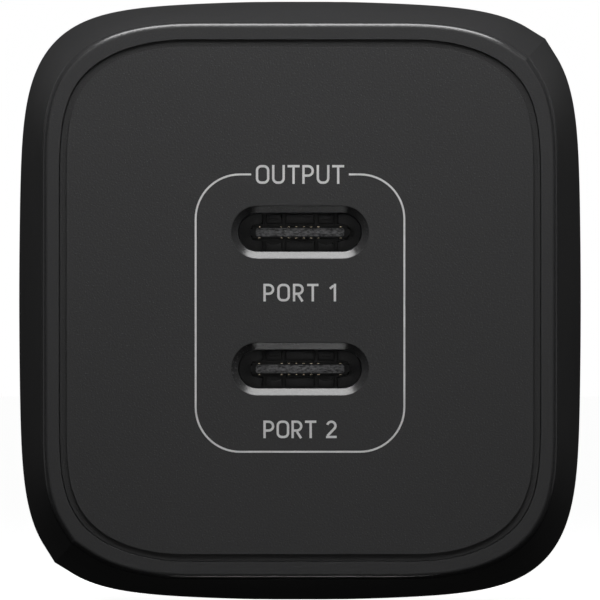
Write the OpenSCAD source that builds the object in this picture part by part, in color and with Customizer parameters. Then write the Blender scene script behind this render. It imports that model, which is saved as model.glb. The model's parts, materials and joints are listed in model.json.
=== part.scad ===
// Two-port USB wall charger with a folding two-blade plug, in millimetres.
// X runs to the right as seen from the front, the front faces -Y, the wall face is the plane y = 0,
// and z = 0 is the middle of the height.

/* [Case] */
// Widest width of the case
case_w = 38.3; // [37.9:0.1:38.9]
// Widest height of the case
case_h = 40.7; // [40.3:0.1:41.3]
// Depth from the wall face to the front
case_d = 52; // [52:0.5:56]
// Thickness of the case wall at its widest
wall_t = 2.1; // [1.9:0.05:2.2]
// How far the left and right flanks draw in towards the front
side_taper = 1.76; // [1.6:0.02:1.8]
// How far the top and bottom flanks draw in towards the front
top_taper = 1.6; // [1.4:0.02:1.6]
// Depth of the flat that the bowed top and bottom are cut to, so that the charger lies still
foot_flat = 0.05; // [0.03:0.01:0.1]
// Length of the curved stretch of the flanks, from the front back
flank_d = 18; // [14:1:22]
// Radius of the front edge
front_edge_r = 0.25; // [0.15:0.05:0.3]
// Radius of the back edge
back_edge_r = 0.7; // [0.5:0.05:0.75]

/* [Front panel] */
// Width of the groove between the case's rim and the front panel
groove_w = 0.52; // [0.45:0.01:0.6]
// Depth of that groove
groove_d = 0.15; // [0.1:0.05:0.6]
// Thickness of the front panel
panel_t = 3; // [2.8:0.1:3.2]

/* [Ports] */
// Distance between the middles of the two ports
port_pitch = 9.24; // [8.5:0.02:10]
// Width of a port's hole in the panel
port_w = 8.44; // [8.4:0.02:8.5]
// Height of a port's hole in the panel
port_h = 2.66; // [2.62:0.02:2.7]
// Width of the bevel round a port's hole
port_bevel = 0.46; // [0.3:0.02:0.5]
// Depth of that bevel
port_bevel_d = 0.27; // [0.15:0.01:0.45]

/* [Plug] */
// Distance between the middles of the two blades
blade_pitch = 12.7; // [12.6:0.05:12.8]
// Width of a blade
blade_w = 6.35; // [6.2:0.05:6.4]
// Thickness of a blade
blade_t = 1.5; // [1.4:0.05:1.6]
// How far a blade stands out of the wall face when unfolded
blade_reach = 16.5; // [15.9:0.1:17]
// Height of the hinge above the middle of the case
hinge_z = 7; // [6.5:0.1:7.2]
// Depth of the hinge below the wall face
hinge_d = 5; // [4.9:0.05:5.1]
// Radius of the rotor that holds the blades
rotor_r = 4; // [3.8:0.05:4.05]

/* [Boards] */
// Thickness of the main and input boards
board_t = 1.2; // [1:0.1:1.2]
// Height of the main board's top face, below the middle of the case
main_board_z = -15.5; // [-15.6:0.05:-15.4]
// Height of the input board's underside
input_board_z = 15.6; // [15.5:0.05:15.7]

/* [Hidden] */
$fn = 48;

front_y = -case_d;
// Points round a quarter of each case outline
quarter_points = 24;
// Assembly clearance between pieces that are pressed or welded together
fit_gap = 0.05;
// Clearance round the moving plug
plug_gap = 0.3;
// A cut runs this far past the face it opens
past = 1;

// An outline is [half width, half height, corner reach across, corner reach up, and the two roundness powers]
bow_h = case_h / 2 + foot_flat;
wide_outline = [case_w / 2, bow_h, case_w / 2, bow_h, 4.47, 5.42];
rim_outline = [case_w / 2 - side_taper, case_h / 2 - top_taper, 10.88, 11.22, 2.54, 3.56];
lip_w = 1.1;
lip_outline = [rim_outline[0] - lip_w, rim_outline[1] - lip_w, 8.66, 12.69, 2, 5.02];
panel_outline = [lip_outline[0] - groove_w, lip_outline[1] - groove_w, 7.97, 9.66, 2.05, 3.92];
// The seat behind the lip is wider than the opening by this much
seat_step = 0.3;
lip_d = 1.4;
seat_outline = inset(lip_outline, -seat_step);
cavity_outline = inset(wide_outline, wall_t);
cover_seat = 1.7;
cover_outline = inset(wide_outline, cover_seat);
cover_t = 2.2;
// Draw-in of the flanks towards the wall face
back_taper = 0.3;
back_taper_y = -14;

// Layers of the assembly behind the front panel
panel_back_y = front_y + panel_t;
output_board_t = 1;
output_board_y = front_y + 8.4;
receptacle_d = 7.1;
receptacle_y = output_board_y - 0.1 - receptacle_d;
shell_w = 8.34;
shell_h = 2.56;
shell_t = 0.3;
tongue_w = 6.69;
tongue_t = 0.7;
tongue_d = 3.3;
housing_y = receptacle_y + 4.6;
housing_back_y = output_board_y - 0.15;
tongue_y = housing_y - tongue_d;
plate_t = 0.15;
contact_t = 0.12;
contact_w = 0.25;
contact_x = [-2.75, -1.25, -0.75, -0.25, 0.25, 0.75, 1.25, 2.75];

// Plug
hinge_y = -hinge_d;
rotor_half = 10.8;
journal_r = 1.3;
journal_d = 1.6;
running_gap = 0.05;
tail_r = rotor_r + 0.6;
tail_w = 3;
detent_gap = 0.75;
blade_len = hinge_d + blade_reach;
slot_half = blade_t / 2 + 0.4;
slot_gap = 0.5;
pocket_half = rotor_half + 0.2;
well_y = hinge_y - tail_r - plug_gap - 1;
well_t = 1.1;
retainer_x = rotor_half + journal_d + 1;
retainer_z = [hinge_z - rotor_r - plug_gap - 0.8, hinge_z + tail_r + plug_gap + 1.2];
finger_z = [hinge_z - blade_len - 0.7, hinge_z - blade_len + 3.9];
finger_d = 5;
finger_half = 9.9;
screw_places = [[-8, 14.8], [8, 14.8], [-12.2, -0.3], [12.2, -0.3]];
screw_r = 0.9;
boss_r = 2.1;
flange_t = 1.5;
split_gap = 0.05;
screw_end_y = -1.4;

// Boards and what stands on them
board_half = 12.6;
main_board_y = [output_board_y + output_board_t + 0.1, well_y - 0.7];
input_board_y = [-40, well_y - 0.7];
control_board_x = 11;
control_board_t = 0.8;
core_y = -28.5;
core_x = 10;
core_half_y = 6;
core_h = 17;
core_z = main_board_z + 0.9;
core_plate = 2.8;
core_leg = 2.6;
core_post_r = 3.4;
bobbin_z = [core_z + core_plate + 0.1, core_z + core_h - core_plate - 0.1];
flange_h = 0.8;
tape_t = 0.25;
pin_r = 0.35;
lead_r = 0.3;
hole_gap = 0.12;
bulk_r = 4.75;
bulk_h = 25.2;
bulk_places = [[-5.4, -16.4], [4.6, -16.4]];
lead_pitch = 5;
output_cap_r = 2.75;
output_cap_h = 8;
output_cap_places = [[-8.5, -38.6], [-2.5, -38.6], [3.5, -38.6]];
output_lead_pitch = 2;
transformer_pin_x = [-6, 0, 6];
transformer_pin_y = 6.5;
link_bar = 0.8;
link_bar_place = [11.9, -12.3];
spreader_x = [15, 15.6];
spreader_y = [-38, -14];
spreader_z = 11;
chip_h = 0.9;
choke_place = [5.4, -32.6];
choke_r = 4.4;
choke_core_r = 1.6;
choke_wire_r = 0.33;
choke_turn_r = 2.0;
choke_turns = 7;
choke_turn_step = 18;

// ---- Outlines

// The outline drawn in by d all round
function inset(o, d) = [o[0] - d, o[1] - d, o[2] - d, o[3] - d, o[4], o[5]];

// Point of the rounded corner at the parameter angle t
function corner_point(o, t) = [
    o[0] - o[2] + o[2] * pow(max(0, cos(t)), 2 / o[4]),
    o[1] - o[3] + o[3] * pow(max(0, sin(t)), 2 / o[5])];

// Parameter angle whose point lies in the direction dir, found by halving
function corner_t(o, dir, lo = 0, hi = 90, n = 30) =
    let (mid = (lo + hi) / 2, p = corner_point(o, mid))
    n == 0 ? mid : atan2(p[1], p[0]) < dir ? corner_t(o, dir, mid, hi, n - 1)
    : corner_t(o, dir, lo, mid, n - 1);

// Point of the outline in the direction dir, from 0 to 90 degrees
function quarter_point(o, dir) =
    dir <= atan2(o[1] - o[3], o[0]) ? [o[0], o[0] * tan(dir)]
    : dir >= atan2(o[1], o[0] - o[2]) ? [o[1] * cos(dir) / sin(dir), o[1]]
    : corner_point(o, corner_t(o, dir));

// The whole outline, counter-clockwise from the right as seen from the front
function outline_points(o) =
    let (n = quarter_points, q = [for (i = [0:n]) quarter_point(o, 90 * i / n)])
    [for (i = [0:n - 1]) q[i], for (i = [0:n - 1]) [-q[n - i][0], q[n - i][1]],
        for (i = [0:n - 1]) -q[i], for (i = [0:n - 1]) [q[n - i][0], -q[n - i][1]]];

// Part-way between two lists of points
function mix(a, b, k) = a * (1 - k) + b * k;

// The points with what stands higher or lower than top cut off
function flattened(points, top) = [for (p = points) [p[0], max(-top, min(top, p[1]))]];

// Lowest and highest value at the distance half on either side of mid
function around(mid, half) = [mid - half, mid + half];

// Points of an outline as a ring at the depth y
function ring(points, y) = [for (p = points) [p[0], y, p[1]]];

// ---- Shared shapes

// Shell through rings that follow one another and come back to the first
module ring_shell(rings) {
    n = len(rings[0]);
    m = len(rings);
    polyhedron(points = [for (r = rings) each r],
        faces = [for (j = [0:m - 1], i = [0:n - 1])
            let (k = (j + 1) % m, l = (i + 1) % n) [j * n + i, j * n + l, k * n + l, k * n + i]]);
}

// A 2D shape in (x, z) extruded from y0 to y1
module along_y(y0, y1) translate([0, y1, 0]) rotate([90, 0, 0]) linear_extrude(y1 - y0) children();

// A 2D shape in (y, z) extruded from x0 to x1
module along_x(x0, x1) translate([x0, 0, 0]) rotate([90, 0, 90]) linear_extrude(x1 - x0) children();

module rod_x(r, x0, x1) translate([x0, 0, 0]) rotate([0, 90, 0]) cylinder(r = r, h = x1 - x0);

module rod_y(r, y0, y1) translate([0, y0, 0]) rotate([-90, 0, 0]) cylinder(r = r, h = y1 - y0);

// Box from lowest to highest along each axis
module block(x, y, z) translate([x[0], y[0], z[0]]) cube([x[1] - x[0], y[1] - y[0], z[1] - z[0]]);

module plate(outline, y0, y1) along_y(y0, y1) polygon(outline_points(outline));

// Slot shape with round ends, w across and h high
module stadium(w, h, y0, y1) along_y(y0, y1) {
    square([w - h, h], center = true);
    for (s = [-1, 1]) translate([s * (w - h) / 2, 0]) circle(d = h);
}

// Bevel of depth d that widens a slot shape by the bevel's width towards the front
module stadium_bevel(w, h, bevel, d, y0) {
    along_x(-(w - h) / 2, (w - h) / 2)
        polygon([[y0, -h / 2 - bevel], [y0 + d, -h / 2], [y0 + d, h / 2], [y0, h / 2 + bevel]]);
    for (s = [-1, 1]) translate([s * (w - h) / 2, y0, 0]) rotate([-90, 0, 0])
        cylinder(r1 = h / 2 + bevel, r2 = h / 2, h = d);
}

// Strip of thickness t along points in (y, z)
module strip(points, t) {
    n = len(points);
    normals = [for (i = [0:n - 1])
        let (d = points[min(i + 1, n - 1)] - points[max(i - 1, 0)]) [-d[1], d[0]] / norm(d) * t / 2];
    polygon([for (i = [0:n - 1]) points[i] + normals[i],
        for (i = [n - 1:-1:0]) points[i] - normals[i]]);
}

// Packaged chip on a board face at z = 0: a body of size [x, y, z] with legs along two sides
module chip(size, legs, leg_w = 0.4, leg_out = 0.5) {
    translate([-size[0] / 2, -size[1] / 2, 0.05]) cube([size[0], size[1], size[2] - 0.05]);
    pitch = size[1] / legs;
    for (s = [-1, 1], i = [0:legs - 1])
        translate([s * (size[0] + leg_out) / 2, (i + 0.5) * pitch - size[1] / 2, 0.15])
            cube([leg_out, leg_w, 0.3], center = true);
}

// Disc with two wire leads that go up to the board, its rim down
module disc_part(r, t, lead) {
    translate([0, 0, -t]) cylinder(r = r, h = t - 0.4);
    for (s = [-1, 1]) translate([s * r * 0.6, 0, -0.4]) cylinder(r = lead_r, h = lead + 0.4, $fn = 24);
}

// ---- Casing

// Share of the taper that is gone at the depth s behind the front
function flank(s) = s >= flank_d ? 1 : 1 - pow(1 - s / flank_d, 2);

// Outer section of the case at y, drawn in by d
function case_section(y, d) = flattened(mix(outline_points(inset(rim_outline, d)),
    outline_points(inset(wide_outline, d)), flank(y - front_y)), case_h / 2 - d);

// How far the flanks have drawn in towards the wall face at y
function back_draw(y) = y < back_taper_y ? 0 : back_taper * pow((y - back_taper_y) / -back_taper_y, 2);

front_rings = [for (a = [0:45:90]) let (y = front_y + front_edge_r * (1 - cos(a)))
    ring(case_section(y, front_edge_r * (1 - sin(a))), y)];
flank_rings = [for (s = [1.5:3:flank_d + 1.5]) ring(case_section(front_y + s, 0), front_y + s)];
back_rings = [for (y = [back_taper_y:4:-2]) ring(case_section(y, back_draw(y)), y)];
back_edge_rings = [for (a = [0:30:90]) let (y = -back_edge_r * (1 - sin(a)))
    ring(case_section(y, back_draw(y) + back_edge_r * (1 - cos(a))), y)];
seat_y = front_y + lip_d;
inner_rings = [
    ring(outline_points(cover_outline), 0),
    ring(outline_points(cover_outline), -cover_t),
    ring(outline_points(cavity_outline), -cover_t),
    ring(outline_points(cavity_outline), front_y + flank_d - 2),
    ring(outline_points(seat_outline), panel_back_y + fit_gap),
    ring(outline_points(seat_outline), seat_y),
    ring(outline_points(lip_outline), seat_y),
    ring(outline_points(lip_outline), front_y)];

module outer_sleeve() {
    color("#26272a") ring_shell(concat(front_rings, flank_rings, back_rings, back_edge_rings, inner_rings));
}

module at_ports() for (s = [-1, 1]) translate([0, 0, s * port_pitch / 2]) children();

module front_panel() {
    socket_gap = 0.08;
    post_r = 1.2;
    post_x = 9.8;
    post_z = [-11, 12];
    color("#303135") difference() {
        union() {
            plate(panel_outline, front_y, front_y + groove_d);
            plate(inset(lip_outline, fit_gap), front_y + groove_d, seat_y);
            plate(inset(seat_outline, fit_gap), seat_y, panel_back_y);
            for (x = [-post_x, post_x], z = post_z)
                translate([x, 0, z]) rod_y(post_r, panel_back_y, output_board_y);
        }
        at_ports() {
            stadium(port_w, port_h, front_y - past, panel_back_y + past);
            stadium_bevel(port_w, port_h, port_bevel, port_bevel_d, front_y);
            stadium(shell_w + 2 * (shell_t + socket_gap), shell_h + 2 * (shell_t + socket_gap),
                receptacle_y, panel_back_y + past);
        }
    }
}

// Everything that the folding plug needs kept clear
module plug_space() {
    translate([0, hinge_y, hinge_z]) {
        rod_x(rotor_r + plug_gap, -pocket_half, pocket_half);
        rod_x(journal_r + running_gap, -pocket_half - journal_d, pocket_half + journal_d);
        for (s = [-1, 1]) translate([s * blade_pitch / 2, 0, 0])
            rod_x(tail_r + plug_gap, -slot_half, slot_half);
    }
    block(around(0, pocket_half), [hinge_y, past], around(hinge_z, rotor_r + plug_gap));
    for (s = [-1, 1]) translate([s * blade_pitch / 2, 0, 0])
        block([-slot_half, slot_half], [hinge_y - blade_w / 2 - slot_gap, past], [finger_z[0], hinge_z]);
    block([-finger_half, finger_half], [-finger_d, past], finger_z);
}

module journal_way() {
    way_half = pocket_half + journal_d;
    block(around(0, way_half), [hinge_y - past, hinge_y], around(hinge_z, journal_r + running_gap));
}

module back_cover() {
    trough_half = slot_half + well_t;
    trough_y = hinge_y - blade_w / 2 - slot_gap - well_t;
    color("#222326") difference() {
        union() {
            plate(inset(cover_outline, fit_gap), -cover_t, 0);
            block([-retainer_x, retainer_x], [hinge_y, -cover_t], retainer_z);
            for (s = [-1, 1]) translate([s * blade_pitch / 2, 0, 0])
                block([-trough_half, trough_half], [trough_y, -cover_t],
                    [finger_z[0] - well_t, retainer_z[0] - fit_gap]);
            block([-finger_half - well_t, finger_half + well_t], [-finger_d - well_t, -cover_t],
                [finger_z[0] - well_t, finger_z[1] + well_t]);
            for (p = screw_places) translate([p[0], 0, p[1]]) rod_y(boss_r, hinge_y, -cover_t);
        }
        plug_space();
        journal_way();
        for (p = screw_places) translate([p[0], 0, p[1]])
            rod_y(screw_r + fit_gap, hinge_y - past, screw_end_y + 0.2);
    }
}

module rotor_retainer() {
    front_face = [hinge_y - flange_t, hinge_y - split_gap];
    flange_half = screw_places[1][0] + boss_r;
    spring_pocket = [2.2, 3.4];
    leaf_window = [-2.2, 2.2];
    head_hole_r = 1.8;
    color("#2d2e31") difference() {
        union() {
            block([-retainer_x, retainer_x], [well_y, hinge_y - split_gap], retainer_z);
            for (p = screw_places) translate([p[0], 0, p[1]]) rod_y(boss_r, front_face[0], front_face[1]);
            block(around(0, flange_half), front_face, [retainer_z[1] - past, screw_places[0][1]]);
            for (p = [screw_places[2], screw_places[3]])
                block(around(p[0], boss_r), front_face, [p[1], retainer_z[0] + past]);
        }
        plug_space();
        for (s = [-1, 1]) translate([s * blade_pitch / 2, 0, hinge_z])
            block([-slot_half, slot_half], [well_y - past, hinge_y], leaf_window);
        block(around(0, spring_pocket[0]), [hinge_y - rotor_r - detent_gap, hinge_y],
            around(hinge_z, spring_pocket[1]));
        for (p = screw_places) translate([p[0], 0, p[1]]) {
            rod_y(screw_r + 0.15, well_y, 0);
            rod_y(head_hole_r, well_y - past, hinge_y - flange_t);
        }
    }
}

module retainer_screws() {
    head_r = 1.6;
    head_h = 1.1;
    cross = [1.1, 0.2];
    color("#9a9da1") for (p = screw_places) translate([p[0], 0, p[1]]) difference() {
        union() {
            rod_y(head_r, hinge_y - flange_t - head_h, hinge_y - flange_t);
            rod_y(screw_r, hinge_y - flange_t, screw_end_y);
        }
        for (a = [0, 90]) rotate([0, a, 0])
            block(around(0, cross[0]), around(hinge_y - flange_t - head_h, head_h / 2), around(0, cross[1]));
    }
}

// ---- Plug

// Side outline of a blade in (y, z) about the hinge, folded down
module blade_shape() {
    tip = 1.3;
    shoulder = 1.5;
    half = blade_w / 2;
    polygon([[-half, shoulder], [-half, -blade_len + tip], [-half + tip, -blade_len],
        [half - tip, -blade_len], [half, -blade_len + tip], [half, shoulder]]);
    intersection() {
        circle(r = tail_r);
        translate([-tail_w / 2, 0]) square([tail_w, 2 * tail_r]);
    }
}

module blade(side) {
    color("#c9ccd0") translate([side * blade_pitch / 2, hinge_y, hinge_z])
        along_x(-blade_t / 2, blade_t / 2) blade_shape();
}

module blade_left() blade(-1);
module blade_right() blade(1);

module plug_rotor() {
    notch_r = 0.5;
    notch_half = 2;
    color("#2a2b2e") translate([0, hinge_y, hinge_z]) difference() {
        union() {
            rod_x(rotor_r, -rotor_half, rotor_half);
            rod_x(journal_r, -rotor_half - journal_d, rotor_half + journal_d);
        }
        for (s = [-1, 1]) translate([s * blade_pitch / 2, 0, 0])
            along_x(-blade_t / 2, blade_t / 2) blade_shape();
        translate([0, -rotor_r, 0]) rod_x(notch_r, -notch_half, notch_half);
        translate([0, 0, rotor_r]) rod_x(notch_r, -notch_half, notch_half);
    }
}

// Leaf that touches a blade's tail when the plug is unfolded, and feeds the input board
module contact_spring(side) {
    leaf_t = 0.3;
    leaf_half = 0.9;
    touch_y = hinge_y - tail_r - 0.1 - leaf_t / 2;
    rest_y = well_y - leaf_t / 2;
    color("#c79a4b") translate([side * blade_pitch / 2, 0, 0]) along_x(-leaf_half, leaf_half)
        strip([[rest_y, hinge_z - 3.6], [rest_y, hinge_z - 1.8], [touch_y - 0.15, hinge_z - 0.6],
            [touch_y, hinge_z], [touch_y - 0.15, hinge_z + 0.6], [rest_y, hinge_z + 1.8],
            [rest_y, input_board_z - 0.7], [rest_y - 0.5, input_board_z - leaf_t / 2],
            [rest_y - 2.6, input_board_z - leaf_t / 2]], leaf_t);
}

module contact_spring_left() contact_spring(-1);
module contact_spring_right() contact_spring(1);

module detent_spring() {
    leaf_t = 0.2;
    back = hinge_y - rotor_r - detent_gap + leaf_t / 2;
    crest = hinge_y - rotor_r - 0.15 - leaf_t / 2;
    color("#b9bcc0") along_x(-1.7, 1.7)
        strip([[back, hinge_z - 3.2], [back, hinge_z - 1.6], [crest, hinge_z - 0.4],
            [crest, hinge_z + 0.4], [back, hinge_z + 1.6], [back, hinge_z + 3.2]], leaf_t);
}

// ---- Receptacles

shell_leg_places = [for (x = [-4.32, 4.32], z = [-0.75, 0.75]) [x, z]];

module receptacle_shell(port) {
    color("#8d9094") translate([0, 0, port_pitch / 2 * port]) {
        difference() {
            stadium(shell_w + 2 * shell_t, shell_h + 2 * shell_t, receptacle_y, receptacle_y + receptacle_d);
            stadium(shell_w, shell_h, receptacle_y - past, receptacle_y + receptacle_d + past);
        }
        for (p = shell_leg_places) translate([p[0], 0, p[1]])
            block([-0.12, 0.12], [receptacle_y + receptacle_d - 0.6, output_board_y + output_board_t + 0.6],
                [-0.4, 0.4]);
    }
}

module contact_way(side, port) {
    for (x = contact_x) translate([x, 0, port_pitch / 2 * port])
        block([-contact_w / 2, contact_w / 2], [tongue_y + 0.3, housing_back_y + past],
            side > 0 ? [tongue_t / 2 - contact_t, tongue_t / 2] : [-tongue_t / 2, contact_t - tongue_t / 2]);
}

module plate_shape(port) translate([0, 0, port_pitch / 2 * port])
    block([-3, 3], [tongue_y + 0.15, housing_back_y - 0.3], [-plate_t / 2, plate_t / 2]);

module receptacle_housing(port) {
    recess_w = 6.66;
    recess_h = 1.11;
    recess_d = 0.7;
    slot_d = 0.5;
    slot_w = 0.28;
    color("#3c3d40") difference() {
        translate([0, 0, port_pitch / 2 * port]) {
            difference() {
                stadium(shell_w - 2 * fit_gap, shell_h - 2 * fit_gap, housing_y, housing_back_y);
                block([-recess_w / 2, recess_w / 2], [housing_y - past, housing_y + recess_d],
                    [-recess_h / 2, recess_h / 2]);
                for (x = [-2.42, -1.1, 1.1, 2.42], s = [-1, 1]) translate([x, housing_y, s * shell_h / 2])
                    cube([slot_w, 2 * slot_d, 1.2], center = true);
                for (p = shell_leg_places) translate([p[0], 0, p[1]])
                    block([-0.2, 0.2], [receptacle_y + receptacle_d - 0.7, output_board_y], [-0.5, 0.5]);
            }
            block([-tongue_w / 2, tongue_w / 2], [tongue_y, housing_y + recess_d],
                [-tongue_t / 2, tongue_t / 2]);
        }
        contact_way(1, port);
        contact_way(-1, port);
        plate_shape(port);
    }
}

module mid_plate(port) color("#a5a8ab") plate_shape(port);

module contact_row(side, port) {
    color("#d8ab4e") for (x = contact_x) translate([x, 0, port_pitch / 2 * port]) {
        block([-contact_w / 2, contact_w / 2], [tongue_y + 0.3, output_board_y],
            side > 0 ? [tongue_t / 2 - contact_t, tongue_t / 2] : [-tongue_t / 2, contact_t - tongue_t / 2]);
        block([-contact_w / 2, contact_w / 2], [housing_back_y, output_board_y],
            side > 0 ? [tongue_t / 2, 1.1] : [-1.1, -tongue_t / 2]);
    }
}

module receptacle_shell_1() receptacle_shell(1);
module receptacle_housing_1() receptacle_housing(1);
module mid_plate_1() mid_plate(1);
module upper_contacts_1() contact_row(1, 1);
module lower_contacts_1() contact_row(-1, 1);
module receptacle_shell_2() receptacle_shell(-1);
module receptacle_housing_2() receptacle_housing(-1);
module mid_plate_2() mid_plate(-1);
module upper_contacts_2() contact_row(1, -1);
module lower_contacts_2() contact_row(-1, -1);

// ---- Output board

module output_board() {
    color("#1f5a3a") difference() {
        block([-11.5, 11.5], [output_board_y, output_board_y + output_board_t], [main_board_z, 13.5]);
        at_ports() for (p = shell_leg_places) translate([p[0], 0, p[1]])
            block([-0.22, 0.22], [output_board_y - past, output_board_y + output_board_t + past],
                [-0.5, 0.5]);
    }
}

// Children stand on the back face of the output board
module behind_output_board(x, z)
    translate([x, output_board_y + output_board_t, z]) rotate([-90, 0, 0]) children();

module output_mosfets() {
    color("#1b1b1d") for (x = [-6.2, 6.2]) behind_output_board(x, 0) chip([5, 6, 1], 4, 0.5);
}

module port_controller() {
    color("#1b1b1d") behind_output_board(0, -10.2) chip([4, 4, 0.8], 6, 0.25, 0.3);
}

module output_link_pins() {
    back = output_board_y + output_board_t;
    color("#c9a24c") for (x = [-10.5:1.5:-6]) translate([x, 0, 0]) along_x(-0.3, 0.3)
        polygon([[back, main_board_z], [back + 1, main_board_z], [back + 1, main_board_z + 0.4],
            [back + 0.4, main_board_z + 0.4], [back + 0.4, main_board_z + 1.6], [back, main_board_z + 1.6]]);
}

// ---- Main board

module main_board() {
    hole_z = [main_board_z - board_t - past, main_board_z + past];
    color("#1f5a3a") difference() {
        block([-board_half, board_half], main_board_y, [main_board_z - board_t, main_board_z]);
        for (x = transformer_pin_x, s = [-1, 1]) translate([x, core_y + s * transformer_pin_y, hole_z[0]])
            cylinder(r = pin_r + hole_gap, h = hole_z[1] - hole_z[0]);
        for (p = bulk_places, s = [-1, 1]) translate([p[0] + s * lead_pitch / 2, p[1], hole_z[0]])
            cylinder(r = lead_r + hole_gap, h = hole_z[1] - hole_z[0]);
        for (p = output_cap_places, s = [-1, 1])
            translate([p[0] + s * output_lead_pitch / 2, p[1], hole_z[0]])
                cylinder(r = lead_r + hole_gap, h = hole_z[1] - hole_z[0]);
        link_bars(hole_gap);
    }
}

module transformer_core(way) {
    mid = core_h / 2;
    air_gap = 0.1;
    color("#3b3c40") translate([0, core_y, core_z + mid]) mirror([0, 0, way > 0 ? 1 : 0]) {
        block([-core_x, core_x], [-core_half_y, core_half_y], [-mid, core_plate - mid]);
        for (s = [-1, 1]) translate([s * (core_x - core_leg / 2), 0, 0])
            block([-core_leg / 2, core_leg / 2], [-core_half_y, core_half_y], [-mid, 0]);
        translate([0, 0, -mid]) cylinder(r = core_post_r, h = mid - air_gap);
    }
}

module transformer_core_lower() transformer_core(-1);
module transformer_core_upper() transformer_core(1);

module transformer_bobbin() {
    tube_r = 4.1;
    flange_r = 7.1;
    foot_y = [core_half_y + 0.1, core_half_y + 1];
    color("#b9a37a") translate([0, core_y, 0]) {
        difference() {
            union() {
                translate([0, 0, bobbin_z[0]]) cylinder(r = tube_r, h = bobbin_z[1] - bobbin_z[0]);
                for (z = [bobbin_z[0], bobbin_z[1] - flange_h]) {
                    translate([0, 0, z]) cylinder(r = flange_r, h = flange_h);
                    block([-5, 5], [-foot_y[1], foot_y[1]], [z, z + flange_h]);
                }
            }
            translate([0, 0, bobbin_z[0] - past])
                cylinder(r = core_post_r + 0.2, h = bobbin_z[1] - bobbin_z[0] + 2 * past);
        }
        for (s = [0, 1]) mirror([0, s, 0]) difference() {
            block([-8, 8], foot_y, [main_board_z, bobbin_z[0] + flange_h]);
            for (x = transformer_pin_x) translate([x, transformer_pin_y, main_board_z - past])
                cylinder(r = pin_r, h = 3.5);
        }
    }
}

module transformer_winding() {
    color("#c9762f") translate([0, core_y, bobbin_z[0] + flange_h + 0.1]) difference() {
        height = bobbin_z[1] - bobbin_z[0] - 2 * flange_h - 0.2;
        cylinder(r = 6.8, h = height);
        translate([0, 0, -past]) cylinder(r = 4.2, h = height + 2 * past);
    }
}

module transformer_tape() {
    band = 4;
    top = core_z + core_h;
    color("#d9b23a") translate([0, core_y, 0]) difference() {
        block([-core_x - tape_t, core_x + tape_t], [-band, band], [core_z - tape_t, top + tape_t]);
        block([-core_x, core_x], [-band - past, band + past], [core_z, top]);
    }
}

module transformer_pins() {
    color("#c9ccd0") for (x = transformer_pin_x, s = [-1, 1])
        translate([x, core_y + s * transformer_pin_y, main_board_z - board_t])
            cylinder(r = pin_r, h = board_t + 2.5);
}

// Can capacitor that stands on z = 0, with a rolled groove, a scored top and two leads
module can_capacitor(r, h, pitch) {
    groove_z = h * 0.14;
    difference() {
        translate([0, 0, 0.3]) cylinder(r = r, h = h - 0.3);
        translate([0, 0, groove_z]) rotate_extrude() translate([r + 0.15, 0]) circle(r = 0.45, $fn = 24);
        for (a = [0, 90]) rotate([0, 0, a]) translate([-r * 0.6, -0.12, h - 0.15]) cube([r * 1.2, 0.24, 1]);
    }
    for (s = [-1, 1]) translate([s * pitch / 2, 0, -board_t])
        cylinder(r = lead_r, h = board_t + 0.4, $fn = 24);
}

module bulk_capacitors() {
    color("#23252b") for (p = bulk_places) translate([p[0], p[1], main_board_z])
        can_capacitor(bulk_r, bulk_h, lead_pitch);
}

module output_capacitors() {
    color("#aeb2b7") for (p = output_cap_places) translate([p[0], p[1], main_board_z])
        can_capacitor(output_cap_r, output_cap_h, output_lead_pitch);
}

module sync_rectifier() {
    color("#1b1b1d") translate([9.3, -38.6, main_board_z]) chip([4, 5, 1], 4, 0.5);
}

// ---- Control board, on edge beside the transformer

module control_board() {
    color("#1f5a3a")
        block([control_board_x, control_board_x + control_board_t], [-35, -13], [main_board_z, 4]);
}

// Children stand on the outer face of the control board
module beside_control_board(y, z)
    translate([control_board_x + control_board_t, y, z]) rotate([0, 90, 0]) children();

module gan_switch() {
    color("#1b1b1d") beside_control_board(-28.5, -2.2) chip([8, 8, chip_h], 6, 0.6);
}

module primary_controller() {
    color("#1b1b1d") beside_control_board(-18.5, -3) chip([4, 5, 1.4], 4, 0.4, 0.9);
}

module optocoupler() {
    color("#e8e6df") beside_control_board(-18.5, -11) chip([4.6, 4.4, 2], 2, 0.5, 1);
}

module thermal_pad() {
    color("#8ba7c4")
        block([control_board_x + control_board_t + chip_h, spreader_x[0]], [-32, -25], [-5.7, 1.3]);
}

module heat_spreader(side) {
    hole_r = 1.2;
    color("#b4b7ba") mirror([side > 0 ? 0 : 1, 0, 0])
        difference() {
            block(spreader_x, spreader_y, [-spreader_z, spreader_z]);
            for (y = [-34, -18], z = [-8.5, 8.5]) translate([0, y, z])
                rod_x(hole_r, spreader_x[0] - past, spreader_x[1] + past);
        }
}

module heat_spreader_left() heat_spreader(-1);
module heat_spreader_right() heat_spreader(1);

module insulating_sheet() {
    sheet_t = 0.4;
    top = main_board_z - board_t;
    color("#d8d4c4")
        block([-11.8, 11.8], [main_board_y[0] + 0.5, main_board_y[1] - 0.2], [top - sheet_t, top]);
}

module link_bars(gap) {
    half = link_bar / 2 + gap;
    for (s = [-1, 1]) translate([s * link_bar_place[0], link_bar_place[1], 0])
        block([-half, half], [-half, half], [main_board_z - board_t - gap, input_board_z + board_t + gap]);
}

module board_link_bars() color("#c9762f") link_bars(0);

// ---- Input board, whose parts hang under it

input_leads = [for (p = [[-7, -36.5], [-7, -29.5], [-9.5, -14.6], [-2.5, -14.6]]) p,
    for (s = [-1, 1]) [6.6 + s * 1.8, -14.8], for (s = [-1, 1]) [8.8 + s * 1.8, -21.4],
    for (s = [-1, 1]) [1 + s * 2.1, -21.2]];

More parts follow.
